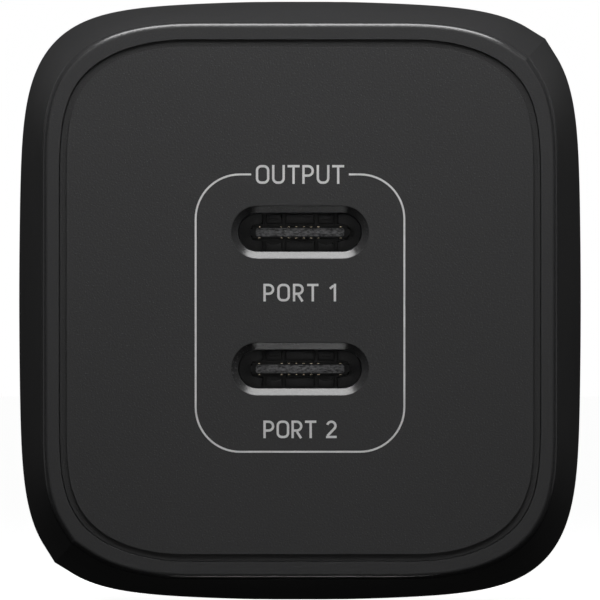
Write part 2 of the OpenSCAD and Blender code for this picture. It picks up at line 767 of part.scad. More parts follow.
module input_board() {
    color("#1f5a3a") difference() {
        block([-board_half, board_half], input_board_y, [input_board_z, input_board_z + board_t]);
        for (p = input_leads) translate([p[0], p[1], input_board_z - past])
            cylinder(r = lead_r + hole_gap, h = board_t + 2 * past);
        link_bars(hole_gap);
    }
}

module x_capacitor() {
    color("#d2a33c") {
        block([-12, -2.2], [-38.8, -27.2], [input_board_z - 8, input_board_z - 0.2]);
        for (y = [-36.5, -29.5]) translate([-7, y, input_board_z - 1])
            cylinder(r = lead_r, h = board_t + 1, $fn = 24);
    }
}

module y_capacitor() {
    color("#3a6ea5") translate([6.6, -14.8, input_board_z - 0.1]) disc_part(3, 3, board_t + 0.1);
}

choke_z = input_board_z - choke_turn_r - choke_wire_r - 0.2;

module choke_core() {
    color("#2f4a3a") translate([choke_place[0], choke_place[1], choke_z])
        rotate_extrude($fn = 64) translate([choke_r, 0]) circle(r = choke_core_r);
}

// One closed turn of wire round the core
module choke_turn() translate([choke_r, 0, 0]) rotate([90, 0, 0])
    rotate_extrude($fn = 32) translate([choke_turn_r, 0]) circle(r = choke_wire_r, $fn = 16);

module choke_windings() {
    color("#c9762f") translate([choke_place[0], choke_place[1], choke_z])
        for (side = [0, 180], i = [0:choke_turns - 1])
            rotate([0, 0, side + (i - (choke_turns - 1) / 2) * choke_turn_step]) choke_turn();
}

module line_fuse() {
    axis_z = input_board_z - 1.8;
    color("#4a4238") translate([0, -14.6, 0]) {
        translate([0, 0, axis_z]) rod_x(1.5, -9.8, -2.2);
        for (x = [-9.5, -2.5]) translate([x, 0, axis_z]) cylinder(r = lead_r, h = 1.8 + board_t, $fn = 24);
    }
}

module inrush_thermistor() {
    color("#3f5c4a") translate([8.8, -21.4, input_board_z - 0.1]) disc_part(3, 3.2, board_t + 0.1);
}

module surge_varistor() {
    color("#2f63a8") translate([1, -21.2, input_board_z - 0.1]) disc_part(3.5, 3.4, board_t + 0.1);
}

module bridge_rectifier() {
    color("#1b1b1d") translate([-7, -21.2, input_board_z]) mirror([0, 0, 1]) chip([6.5, 8, 2.2], 2, 1, 1);
}

outer_sleeve();
front_panel();
back_cover();
rotor_retainer();
retainer_screws();
plug_rotor();
blade_left();
blade_right();
contact_spring_left();
contact_spring_right();
detent_spring();
output_board();
receptacle_shell_1();
receptacle_housing_1();
mid_plate_1();
upper_contacts_1();
lower_contacts_1();
receptacle_shell_2();
receptacle_housing_2();
mid_plate_2();
upper_contacts_2();
lower_contacts_2();
output_mosfets();
port_controller();
output_link_pins();
main_board();
transformer_core_lower();
transformer_core_upper();
transformer_bobbin();
transformer_winding();
transformer_tape();
transformer_pins();
bulk_capacitors();
output_capacitors();
sync_rectifier();
control_board();
gan_switch();
primary_controller();
optocoupler();
thermal_pad();
heat_spreader_left();
heat_spreader_right();
insulating_sheet();
board_link_bars();
input_board();
x_capacitor();
y_capacitor();
choke_core();
choke_windings();
line_fuse();
inrush_thermistor();
surge_varistor();
bridge_rectifier();
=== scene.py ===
"""Looks for a two-port USB wall charger, built round its packed CAD model.

Lengths are metres in the CAD frame: X to the right as seen from the front, the front faces -Y,
Z up. The casing, the front panel, the ports and the print are mesh pieces made here. The other
CAD nodes keep their shape and get softened edges and procedural finishes.
"""

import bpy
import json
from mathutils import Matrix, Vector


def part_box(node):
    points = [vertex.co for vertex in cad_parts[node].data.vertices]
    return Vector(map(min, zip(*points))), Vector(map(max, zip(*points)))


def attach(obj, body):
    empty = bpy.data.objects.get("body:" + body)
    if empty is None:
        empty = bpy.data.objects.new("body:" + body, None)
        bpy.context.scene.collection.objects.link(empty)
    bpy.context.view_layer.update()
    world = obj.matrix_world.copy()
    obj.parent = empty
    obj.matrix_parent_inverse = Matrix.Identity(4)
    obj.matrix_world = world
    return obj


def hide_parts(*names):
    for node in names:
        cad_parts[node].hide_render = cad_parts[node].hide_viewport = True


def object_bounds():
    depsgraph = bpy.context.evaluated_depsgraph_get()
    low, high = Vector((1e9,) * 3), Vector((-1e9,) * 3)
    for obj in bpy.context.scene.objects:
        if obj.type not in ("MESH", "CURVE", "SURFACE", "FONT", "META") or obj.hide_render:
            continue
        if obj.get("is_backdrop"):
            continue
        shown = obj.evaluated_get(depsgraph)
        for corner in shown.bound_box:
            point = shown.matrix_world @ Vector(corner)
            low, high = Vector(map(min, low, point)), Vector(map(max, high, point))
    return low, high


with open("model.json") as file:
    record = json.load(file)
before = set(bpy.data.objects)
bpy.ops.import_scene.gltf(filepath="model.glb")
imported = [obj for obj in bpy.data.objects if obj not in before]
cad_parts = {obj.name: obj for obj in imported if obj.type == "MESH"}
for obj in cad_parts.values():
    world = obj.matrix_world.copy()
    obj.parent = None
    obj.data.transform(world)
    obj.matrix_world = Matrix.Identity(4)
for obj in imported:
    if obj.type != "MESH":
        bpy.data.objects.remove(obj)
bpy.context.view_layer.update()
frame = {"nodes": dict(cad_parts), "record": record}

import json
import math
from dataclasses import dataclass

import bmesh
import bpy
from bpy.props import (FloatProperty, FloatVectorProperty, IntProperty, PointerProperty,
                       StringProperty)
from mathutils import Vector

bl_info = {
    "name": "Wall charger looks",
    "version": (1, 0, 0),
    "blender": (4, 5, 0),
    "location": "3D View > Sidebar > Charger",
    "description": "Builds the casing, ports, print, finishes and stage of a USB wall charger",
    "category": "Object",
}

MM = 0.001
SLEEVE_LOW, SLEEVE_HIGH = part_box("outer_sleeve")
HALF_W = (SLEEVE_HIGH.x - SLEEVE_LOW.x) / 2
HALF_H = (SLEEVE_HIGH.z - SLEEVE_LOW.z) / 2
FRONT_Y = SLEEVE_LOW.y
PANEL_BACK_Y = FRONT_Y + 3 * MM
LIP_DEPTH, SEAT_STEP = 1.4 * MM, 0.3 * MM
PORTS = {"1": 1, "2": -1}
# Band of a port's blocks: outside it the insulator's colour is painted dark, painted shade on the
# deep rear wall.
RING_DEPTH, RING_BAND, RING_BLUR = 3.3 * MM, 0.4 * MM, 0.04 * MM
POINTED = math.radians(40)
SLOT_OF = {row["node"]: row["material_slot"] for row in frame["record"]["subparts"]}
COLOUR_OF = {row["slot"]: row["base_color"][:3] for row in frame["record"]["materials"]}


# ---- Settings ----------------------------------------------------------------------------------


def length(name, description, default):
    """A length setting, in metres."""
    return FloatProperty(name=name, description=description, default=default, min=0.0,
                         unit="LENGTH", subtype="DISTANCE", precision=6)


def colour(name, description, default):
    """A colour setting."""
    return FloatVectorProperty(name=name, description=description, default=default, size=3,
                               min=0.0, max=1.0, subtype="COLOR")


def share(name, description, default):
    """A setting from 0 to 1."""
    return FloatProperty(name=name, description=description, default=default, min=0.0, max=1.0,
                         subtype="FACTOR")


def power(name, description, default):
    """A lamp's power, in watts."""
    return FloatProperty(name=name, description=description, default=default, min=0.0,
                         unit="POWER", precision=6)


class CaseSettings(bpy.types.PropertyGroup):
    """Sizes of the casing and its front panel."""

    side_taper: length("Side taper", "How far the side flanks draw in to the front", 1.76 * MM)
    top_taper: length("Top taper", "How far the top and bottom draw in to the front", 1.54 * MM)
    foot_flat: length("Foot flat", "Depth of the flats on the bowed top and bottom", 0.05 * MM)
    side_bow: share("Side bow", "How much the sides draw in beside their middles", 0.032)
    top_bow: share("Top bow", "The same for the top and the bottom", 0.067)
    flank_depth: length("Flank depth", "Length of the curved stretch of the flanks", 18 * MM)
    front_edge: length("Front edge", "Radius of the rim's outer edge", 0.36 * MM)
    back_edge: length("Back edge", "Radius of the edge round the wall face", 0.7 * MM)
    rim_width: length("Rim width", "Width of the rim round the front panel", 1.1 * MM)
    rim_rise: length("Rim rise", "How much wider the rim is above and below the panel", 0.06 * MM)
    groove_width: length("Groove width", "Gap between the rim and the front panel", 0.52 * MM)
    groove_depth: length("Groove depth", "Depth of that gap", 0.15 * MM)
    soft_edge: length("Soft edge", "Radius of the panel's and the groove's fine edges", 0.007 * MM)
    crease: FloatProperty(name="Corner crease", unit="ROTATION", subtype="ANGLE",
                          description="Half the turn over which two corners are creased",
                          default=math.radians(2.4))
    steps: IntProperty(name="Steps", description="Points round a quarter of each outline",
                       default=96, min=16)


class PortSettings(bpy.types.PropertyGroup):
    """Sizes of the ports and what is inside them."""

    pitch: length("Pitch", "Distance between the middles of the two ports", 9.24 * MM)
    hole_width: length("Hole width", "Width of a port's hole in the panel", 8.36 * MM)
    hole_height: length("Hole height", "Height of a port's hole in the panel", 2.62 * MM)
    bevel: length("Bevel", "Width of the bevel round a port's hole", 0.48 * MM)
    bevel_depth: length("Bevel depth", "Depth of that bevel", 0.27 * MM)
    shell_width: length("Shell width", "Inner width of the steel shell", 8.28 * MM)
    shell_height: length("Shell height", "Inner height of the steel shell", 2.54 * MM)
    shell_wall: length("Shell wall", "Thickness of the steel shell", 0.3 * MM)
    tongue_width: length("Tongue width", "Width of the tongue", 6.69 * MM)
    tongue_height: length("Tongue height", "Thickness of the tongue", 0.7 * MM)
    nose_width: length("Nose width", "Width of the steel nose on the tongue", 5.98 * MM)
    nose_height: length("Nose height", "Height of the steel nose on the tongue", 0.54 * MM)
    contact_pitch: length("Contact pitch", "Distance between neighbouring contacts", 0.5 * MM)
    contact_width: length("Contact width", "Width of a contact", 0.2 * MM)


class PrintSettings(bpy.types.PropertyGroup):
    """The printed line and captions on the front panel."""

    line_width: length("Line width", "Width of the printed frame's line", 0.13 * MM)
    frame_width: length("Frame width", "Width of the printed frame", 14.1 * MM)
    frame_height: length("Frame height", "Height of the printed frame", 18.74 * MM)
    frame_middle: FloatProperty(name="Frame middle", description="Height of the frame's middle",
                                default=-0.845 * MM, unit="LENGTH", subtype="DISTANCE", precision=6)
    frame_corner: length("Frame corner", "Corner radius of the printed frame", 3.0 * MM)
    gap: length("Gap", "Gap in the frame's top line, where the title stands", 6.6 * MM)
    pen: length("Pen", "Stroke width of the captions", 0.16 * MM)
    title: StringProperty(name="Title", description="Word in the frame's line", default="OUTPUT")
    title_height: length("Title height", "Capital height of the title", 1.27 * MM)
    title_width: length("Title width", "Length of the title", 5.97 * MM)
    caption: StringProperty(name="Caption", description="Word under each port", default="PORT")
    caption_height: length("Caption height", "Capital height of the captions", 1.19 * MM)
    caption_width: length("Caption width", "Length of a caption", 4.95 * MM)
    caption_drop: length("Caption drop", "How far a caption is below its port's middle", 4.08 * MM)
    ink_depth: length("Ink depth", "How far the ink stands on the panel", 0.012 * MM)


class FinishSettings(bpy.types.PropertyGroup):
    """Colours and grain of the visible finishes."""

    case_colour: colour("Case colour", "Colour of the casing", (0.0300, 0.0300, 0.0308))
    panel_colour: colour("Panel colour", "Colour of the front panel", (0.0300, 0.0300, 0.0306))
    ink_colour: colour("Ink colour", "Colour of the print", (0.68, 0.68, 0.68))
    insulator_colour: colour("Insulator colour", "Colour of a port's blocks", (0.125, 0.125, 0.127))
    gold_colour: colour("Gold colour", "Colour of the contacts", (0.9, 0.8, 0.6))
    case_roughness: share("Case roughness", "Roughness of the casing", 0.46)
    panel_roughness: share("Panel roughness", "Roughness of the front panel", 0.5)
    grain: length("Grain", "Size of the moulded grain", 0.13 * MM)


class StageSettings(bpy.types.PropertyGroup):
    """Camera, lights and floor."""

    view_width: length("View width", "Width of the view at the front panel", 40.54 * MM)
    distance: length("Distance", "Distance of the camera from the front panel", 1.9)
    aim: length("Aim", "Height of the camera above the object's middle", 0.04 * MM)
    key_power: power("Key light", "Power of the small light above the front", 0.259)
    fill_power: power("Fill light", "Power of the wider light above the front", 0.0124)
    front_power: power("Front light", "Power of the light beside the camera", 0.14)
    port_power: power("Port light", "Power of the narrow light on the ports from below", 0.000033)
    rear_side_power: power("Rear side lights", "Power of the lights behind either side", 0.105)
    side_power: power("Side lights", "Power of the lights at either side", 0.124)
    back_power: power("Back light", "Power of the narrow lights on the wall face", 0.0045)
    under_power: power("Under light", "Power of the narrow light on the underside", 0.0015)
    ambient: share("Ambient", "Brightness of the surroundings as the object sees them", 0.0102)
    floor_colour: colour("Floor colour", "Colour of the floor", (0.8, 0.8, 0.79))


SETTINGS = {"charger_case": CaseSettings, "charger_ports": PortSettings,
            "charger_print": PrintSettings, "charger_finish": FinishSettings,
            "charger_stage": StageSettings}


# ---- Outlines ----------------------------------------------------------------------------------


@dataclass(frozen=True)
class Outline:
    """A four-fold rounded outline: half sizes, the corners' reach, and their roundness powers."""

    half_w: float
    half_h: float
    reach_x: float
    reach_z: float
    power_x: float
    power_z: float

    def inset(self, d):
        """The outline drawn in by d all round."""
        return Outline(self.half_w - d, self.half_h - d, self.reach_x - d, self.reach_z - d,
                       self.power_x, self.power_z)

    def corner(self, t):
        """Point of the rounded corner at the parameter angle t."""
        across = max(0.0, math.cos(t)) ** (2 / self.power_x)
        up = max(0.0, math.sin(t)) ** (2 / self.power_z)
        return (self.half_w - self.reach_x + self.reach_x * across,
                self.half_h - self.reach_z + self.reach_z * up)

    def quarter(self, direction):
        """Point of the first quarter in a direction, from 0 to a quarter turn."""
        if direction <= math.atan2(self.half_h - self.reach_z, self.half_w):
            return (self.half_w, self.half_w * math.tan(direction))
        if direction >= math.atan2(self.half_h, self.half_w - self.reach_x):
            return (self.half_h / math.tan(direction), self.half_h)
        low, high = 0.0, math.pi / 2
        for _ in range(40):
            middle = (low + high) / 2
            x, z = self.corner(middle)
            if math.atan2(z, x) < direction:
                low = middle
            else:
                high = middle
        return self.corner((low + high) / 2)

    def loop(self, steps):
        """The whole outline, steps points to a quarter, counter-clockwise from the right."""
        quarter = [self.quarter(math.pi / 2 * i / steps) for i in range(steps + 1)]
        return (quarter[:-1] + [(-x, z) for x, z in quarter[:0:-1]]
                + [(-x, -z) for x, z in quarter[:-1]] + [(x, -z) for x, z in quarter[:0:-1]])


def rounding(steps):
    """Points round a quarter turn, as (1 - cos, 1 - sin): shares of its radius."""
    turn = [math.pi / 2 * i / steps for i in range(steps + 1)]
    return [(1 - math.cos(a), 1 - math.sin(a)) for a in turn]


def placed(points, middle, side=1, up=1):
    """Points moved up by middle; a side or up of -1 mirrors them first."""
    return [(side * x, middle + up * z) for x, z in points]


def mix_loops(a, b, k):
    """Part-way between two loops of points."""
    return [(p[0] * (1 - k) + q[0] * k, p[1] * (1 - k) + q[1] * k) for p, q in zip(a, b)]


def case_outlines(case):
    """The rim's, the lip's, the panel's and the widest outline."""
    rim = Outline(HALF_W - case.side_taper, HALF_H - case.top_taper,
                  10.88 * MM, 11.22 * MM, 2.54, 3.56)
    lip = Outline(rim.half_w - case.rim_width, rim.half_h - case.rim_width - case.rim_rise,
                  8.66 * MM, 12.69 * MM, 2.0, 5.02)
    panel = Outline(lip.half_w - case.groove_width, lip.half_h - case.groove_width,
                    7.97 * MM, 9.66 * MM, 2.05, 3.92)
    bow_h = HALF_H + case.foot_flat
    wide = Outline(HALF_W, bow_h, HALF_W, bow_h, 4.47, 5.42)
    return rim, lip, panel, wide


def bowed(points, outline, case):
    """The loop drawn in a little between the middles of its sides and its corners."""
    top_end, side_end = 0.75, 0.8
    made = []
    for x, z in points:
        u, v = (x / outline.half_w) ** 2, (z / outline.half_h) ** 2
        over = u * max(0.0, 1 - u / top_end) ** 2
        beside = v * max(0.0, 1 - v / side_end) ** 2
        made.append((x * (1 - case.side_bow * beside), z * (1 - case.top_bow * over)))
    return made


def crease_columns(steps):
    """Places in a loop of the two creased corners: upper right and lower left."""
    crease_direction = 47
    place = round(steps * crease_direction / 90)
    return place, place + 2 * steps


def creased(points, case):
    """The loop with its two creased corners drawn out to where the tangents beside them meet."""

    def reach(ray, near, far):
        """How far along a ray the line through two points lies."""
        run = near - far
        return (near.x * run.y - near.y * run.x) / (ray.x * run.y - ray.y * run.x)

    made = list(points)
    half = max(1, round(case.crease / (math.pi / 2) * case.steps))
    for place in crease_columns(case.steps):
        sides = [(Vector(points[place + way * half]), Vector(points[place + way * (half + 1)]))
                 for way in (-1, 1)]
        for i in range(place - half + 1, place + half):
            ray = Vector(points[i]).normalized()
            made[i] = tuple(ray * reach(ray, *sides[i > place]))
        ray = Vector(points[place]).normalized()
        made[place] = tuple(ray * sum(reach(ray, *side) for side in sides) / 2)
    return made


def stadium(width, height, per_end=24):
    """A slot shape with round ends, counter-clockwise from the right."""
    r, half = height / 2, (width - height) / 2
    return arc((half, 0.0), r, r, -90, 90, per_end) + arc((-half, 0.0), r, r, 90, 270, per_end)


def arc(centre, rx, rz, start, end, steps=10):
    """Points on an ellipse's arc, its ends in degrees."""
    turn = [math.radians(start + (end - start) * i / steps) for i in range(steps + 1)]
    return [(centre[0] + rx * math.cos(a), centre[1] + rz * math.sin(a)) for a in turn]


# ---- Meshes ------------------------------------------------------------------------------------


class Shape:
    """A mesh made of loops joined by bands, with plain helpers for closed shapes."""

    def __init__(self):
        self.bm = bmesh.new()

    def loop(self, points, y):
        """A closed loop of (x, z) points at the depth y."""
        return [self.bm.verts.new((x, y, z)) for x, z in points]

    def band(self, a, b):
        """Faces between two loops."""
        count = len(a)
        for i in range(count):
            j = (i + 1) % count
            self.bm.faces.new((a[i], a[j], b[j], b[i]))

    def bands(self, loops, ring=False):
        """Faces through a list of loops, and back to the first if it is a ring."""
        for a, b in zip(loops, loops[1:]):
            self.band(a, b)
        if ring:
            self.band(loops[-1], loops[0])

    def fill(self, *loops):
        """A flat face inside the first loop and outside the others."""
        pairs = [(loop[i - 1], loop[i]) for loop in loops for i in range(len(loop))]
        edges = [self.bm.edges.get(pair) or self.bm.edges.new(pair) for pair in pairs]
        bmesh.ops.triangle_fill(self.bm, edges=edges, use_beauty=True, use_dissolve=False)

    def sharpen(self, *loops):
        """Marks the edges along loops as sharp."""
        for loop in loops:
            for i in range(len(loop)):
                edge = self.bm.edges.get((loop[i - 1], loop[i]))
                if edge:
                    edge.smooth = False

    def block(self, low, high, soft=0.0, segments=2):
        """A box, its edges rounded by soft."""
        corners = bmesh.ops.create_cube(self.bm, size=1.0)["verts"]
        for v in corners:
            v.co = Vector([low[i] + (v.co[i] + 0.5) * (high[i] - low[i]) for i in range(3)])
        self.soften(corners, soft, segments)

    def prism(self, points, y0, y1, soft=0.0, segments=2):
        """A closed (x, z) outline from y0 to y1, its edges rounded by soft."""
        front, back = self.loop(points, y0), self.loop(points, y1)
        self.band(front, back)
        self.bm.faces.new(front)
        self.bm.faces.new(back)
        self.soften(front + back, soft, segments, rims=True)

    def soften(self, verts, soft, segments, rims=False):
        """Rounds the edges among verts, or only those round the two ends of a prism."""
        if soft <= 0:
            return
        inside = set(verts)
        edges = {e for v in verts for e in v.link_edges if e.other_vert(v) in inside}
        if rims:
            edges = {e for e in edges if abs(e.verts[0].co.y - e.verts[1].co.y) < 1e-9}
        bmesh.ops.bevel(self.bm, geom=list(edges), offset=soft, segments=segments, profile=0.5,
                        affect="EDGES", clamp_overlap=True)

    def piece(self, name, slot, replaced=None):
        """The finished object, riding on the root body, and the CAD node it stands for."""
        bmesh.ops.recalc_face_normals(self.bm, faces=self.bm.faces)
        for face in self.bm.faces:
            face.smooth = True
        for edge in self.bm.edges:
            if len(edge.link_faces) == 2 and edge.calc_face_angle(0.0) > POINTED:
                edge.smooth = False
        mesh = bpy.data.meshes.new(name)
        self.bm.to_mesh(mesh)
        self.bm.free()
        mesh.materials.append(material(slot))
        piece = bpy.data.objects.new(name, mesh)
        bpy.context.scene.collection.objects.link(piece)
        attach(piece, "root")
        if replaced:
            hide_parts(replaced)


# ---- Finishes ----------------------------------------------------------------------------------


class Wire:
    """A node's output, so that shader maths reads as Python."""

    def __init__(self, finish, socket):
        self.finish = finish
        self.socket = socket

    def maths(self, operation, a, b=0.0):
        """A Math node on two values or wires."""
        return self.finish.node("ShaderNodeMath", {"operation": operation}, {0: a, 1: b})

    def __add__(self, other):
        return self.maths("ADD", self, other)

    def __radd__(self, other):
        return self.maths("ADD", other, self)

    def __sub__(self, other):
        return self.maths("SUBTRACT", self, other)

    def __rsub__(self, other):
        return self.maths("SUBTRACT", other, self)

    def __mul__(self, other):
        return self.maths("MULTIPLY", self, other)

    def __rmul__(self, other):
        return self.maths("MULTIPLY", other, self)

    def magnitude(self):
        """The value without its sign."""
        return self.maths("ABSOLUTE", self)

    def clamped(self):
        """The value held between 0 and 1."""
        return self.finish.node("ShaderNodeClamp", {}, {"Value": self})


class Finish:
    """A material on one Principled shader, and the nodes that feed it."""

    def __init__(self, name, colour, roughness, metallic=0.0, specular=0.5, coat=0.0):
        self.material = bpy.data.materials.new(f"{name}_finish")
        self.material.use_nodes = True
        self.tree = self.material.node_tree
        self.shader = self.tree.nodes["Principled BSDF"]
        self.material.diffuse_color = (*colour, 1.0)
        self.set("Base Color", (*colour, 1.0))
        self.set("Roughness", roughness)
        self.set("Metallic", metallic)
        self.set("Specular IOR Level", specular)
        self.set("Coat Weight", coat)

    def set(self, name, value):
        """Sets or links one of the shader's own sockets."""
        self.plug(self.shader.inputs[name], value)

    def plug(self, socket, value):
        """Links a wire to a socket, or sets the socket's value."""
        if isinstance(value, Wire):
            self.tree.links.new(value.socket, socket)
        else:
            socket.default_value = value

    def node(self, kind, settings, inputs, output=0):
        """Any node: its type, its settings, and the values or links of its sockets."""
        made = self.tree.nodes.new(kind)
        for name, value in settings.items():
            setattr(made, name, value)
        for name, value in inputs.items():
            self.plug(made.inputs[name], value)
        return Wire(self, made.outputs[output])

    def place(self):
        """Where a point is on the object, in metres."""
        return self.node("ShaderNodeTexCoord", {}, {}, "Object")

    def stretched(self, scale):
        """The same, stretched along each axis."""
        return self.node("ShaderNodeMapping", {}, {"Vector": self.place(), "Scale": scale})

    def noise(self, size, detail=2.0, roughness=0.5, vector=None):
        """Cloudy noise with features of about the given size."""
        return self.node("ShaderNodeTexNoise", {},
                         {"Vector": vector or self.place(), "Scale": 1 / size,
                          "Detail": detail, "Roughness": roughness})

    def along_y(self, vector):
        """A vector's part along Y."""
        return self.node("ShaderNodeSeparateXYZ", {}, {"Vector": vector}, "Y")

    def forward(self):
        """How squarely a face looks forward or back, from 0 to 1."""
        return self.along_y(self.node("ShaderNodeTexCoord", {}, {}, "Normal")).magnitude()

    def edges(self):
        """Mask of the bevels and rounded edges between forward faces and side faces."""
        forward = self.forward()
        return ((0.985 - forward) * 20.0).clamped() * ((forward - 0.3) * 6.0).clamped()

    def groove_floor(self):
        """Mask of the faces that look forward from below the front panel's surface, where the
        groove's painted shade goes.
        """
        depth, forward = self.along_y(self.place()), self.forward()
        below, blur = FRONT_Y + 0.08 * MM, 0.02 * MM
        return ((depth - below) * (1 / blur)).clamped() * ((forward - 0.97) * 50.0).clamped()

    def cells(self, size):
        """Distance from the nearest of scattered points, spaced about size apart."""
        return self.node("ShaderNodeTexVoronoi", {}, {"Vector": self.place(), "Scale": 1 / size})

    def blend(self, factor, a, b):
        """A colour between a and b."""
        return self.node("ShaderNodeMix", {"data_type": "RGBA"}, {"Factor": factor, 6: a, 7: b}, 2)

    def mottle(self, pattern, base, dark, light):
        """Sets the colour: the base made darker to lighter, as a pattern goes from 0 to 1."""
        self.set("Base Color", self.blend(pattern, shade(base, dark), shade(base, light)))

    def bump(self, height, strength, distance):
        """Sets the surface's relief."""
        self.set("Normal", self.node("ShaderNodeBump", {}, {"Height": height, "Strength": strength,
                                                            "Distance": distance}))


def shade(base, factor):
    """A colour made darker or lighter, with alpha."""
    return (*(min(1.0, c * factor) for c in base), 1.0)


def moulded(name, base, roughness, grain, painted_glints=0.0, relief=0.35, polish=0.0, painted_groove_shade=1.0):
    """Spark-eroded plastic: grain, pale specks painted in as painted glints, slow changes of gloss,
    polished edges and painted shade on a groove's floor.
    """
    finish = Finish(name, base, roughness)
    pits = finish.noise(grain, detail=2.0, roughness=0.6)
    slow = finish.noise(grain * 60, detail=2.0)
    specks = ((finish.noise(grain * 0.8, detail=1.0) - 0.62) * 9.0).clamped()
    tone = finish.blend((pits * 1.6 - 0.3).clamped(), shade(base, 0.78), shade(base, 1.24))
    # Painted glints: pale specks put into the colour; their bump below is real relief.
    tone = finish.blend(specks * painted_glints, tone, shade(base, 4.5))
    # Painted shade: the floor of the shallow groove is darkened.
    if painted_groove_shade < 1:
        tone = finish.blend(finish.groove_floor(), tone, shade(base, painted_groove_shade))
    finish.set("Base Color", tone)
    rough, height = roughness - 0.05 + slow * 0.1 + (pits - 0.5) * 0.12, pits + specks * 0.6
    if polish > 0:
        edge = finish.edges()
        rough, height = rough - edge * polish, height * (1 - edge * 0.85)
    finish.set("Roughness", rough)
    finish.bump(height, relief, grain * 0.25)
    return finish.material


def insulator(name, base, roughness):
    """Glass-filled resin of a port: the ring of blocks in its colour; the rear wall darkened as
    painted shade, the tongue darkened alike.
    """
    finish = Finish(name, base, roughness)
    ring_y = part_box("receptacle_housing_1")[0].y + RING_DEPTH
    depth = finish.along_y(finish.place())
    front = ((depth - (ring_y - RING_BAND)) * (1 / RING_BLUR)).clamped()
    back = ((ring_y + RING_BAND - depth) * (1 / RING_BLUR)).clamped()
    fibres = finish.noise(0.08 * MM, detail=3.0)
    tone = finish.blend(fibres, shade(base, 0.7), shade(base, 1.3))
    # Painted shade: outside the blocks' band the colour drops to a tenth, darkening the deep rear
    # wall and the tongue.
    finish.set("Base Color", finish.blend(front * back, shade(base, 0.1), tone))
    finish.set("Roughness", roughness - 0.06 + fibres * 0.12)
    finish.bump(fibres, 0.35, 0.02 * MM)
    return finish.material


def printed(name, base):
    """Pad-printed ink: slightly uneven cover over the plastic's grain."""
    finish = Finish(name, base, 0.55, specular=0.3)
    grain = finish.noise(0.09 * MM, detail=2.0)
    finish.mottle((grain * 1.5 - 0.25).clamped(), base, 0.86, 1.1)
    finish.bump(grain, 0.2, 0.01 * MM)
    return finish.material


def metal(name, base, roughness, along=(1.0, 1.0, 1.0), line=0.05 * MM):
    """Drawn or plated metal with fine lines along one way and faint handling marks."""
    finish = Finish(name, base, roughness, metallic=1.0)
    lines = finish.noise(line, detail=3.0, vector=finish.stretched(along))
    marks = finish.noise(1.4 * MM, detail=4.0)
    finish.mottle((marks * 1.4 - 0.2).clamped(), base, 0.8, 1.05)
    finish.set("Roughness", roughness - 0.08 + lines * 0.12 + marks * 0.06)
    finish.bump(lines, 0.15, 0.004 * MM)
    return finish.material


def sheared(name, base, roughness):
    """The torn, burred edge of punched steel."""
    finish = Finish(name, base, roughness, metallic=1.0)
    burrs = finish.noise(0.2 * MM, 3.0, 0.6, finish.stretched((0.8, 1.0, 1.5)))
    finish.mottle(((burrs - 0.35) * 3.3).clamped(), base, 0.35, 1.5)
    finish.set("Roughness", roughness - 0.1 + burrs * 0.2)
    finish.bump(burrs, 0.6, 0.02 * MM)
    return finish.material


def laminate(name, base):
    """Circuit board under solder mask: a faint glass weave and copper tracks below it."""
    finish = Finish(name, base, 0.35, coat=0.3)
    weave = finish.node("ShaderNodeTexChecker", {},
                        {"Vector": finish.place(), "Scale": 1 / (0.7 * MM)}, 1)
    tracks = ((finish.cells(2.2 * MM) - 0.35) * 9.0).clamped()
    ground = finish.blend(weave * 0.25 + 0.2, shade(base, 0.8), shade(base, 1.15))
    finish.set("Base Color", finish.blend(tracks * 0.6, ground, shade(base, 1.9)))
    finish.bump(tracks, 0.3, 0.02 * MM)
    return finish.material


def fired(name, base, roughness):
    """Sintered or lacquered ceramic with a fine mottled skin."""
    finish = Finish(name, base, roughness)
    skin = finish.noise(0.25 * MM, detail=5.0, roughness=0.65)
    finish.mottle((skin * 1.8 - 0.4).clamped(), base, 0.7, 1.35)
    finish.set("Roughness", roughness - 0.08 + skin * 0.16)
    finish.bump(skin, 0.3, 0.02 * MM)
    return finish.material


def wound(name, base):
    """Enamelled copper wire laid in turns."""
    finish = Finish(name, base, 0.3, metallic=0.9, coat=0.5)
    turns = finish.node("ShaderNodeTexWave", {"bands_direction": "Z"},
                        {"Vector": finish.place(), "Scale": 1 / (2.4 * MM), "Distortion": 0.4}, 1)
    finish.mottle(turns, base, 0.55, 1.25)
    finish.bump(turns, 0.6, 0.08 * MM)
    return finish.material


def fibre(name, base):
    """Pressed fibre sheet."""
    finish = Finish(name, base, 0.8, specular=0.2)
    threads = finish.noise(0.12 * MM, detail=4.0, vector=finish.stretched((1.0, 0.12, 1.0)))
    finish.mottle((threads * 1.8 - 0.4).clamped(), base, 0.8, 1.15)
    finish.bump(threads, 0.4, 0.03 * MM)
    return finish.material


def film(name, base, roughness):
    """Stretched plastic film or sleeve with faint ripples."""
    finish = Finish(name, base, roughness, coat=0.3)
    ripples = finish.noise(0.8 * MM, detail=3.0, vector=finish.stretched((1.0, 1.0, 0.3)))
    finish.mottle(ripples, base, 0.85, 1.15)
    finish.bump(ripples, 0.15, 0.05 * MM)
    return finish.material


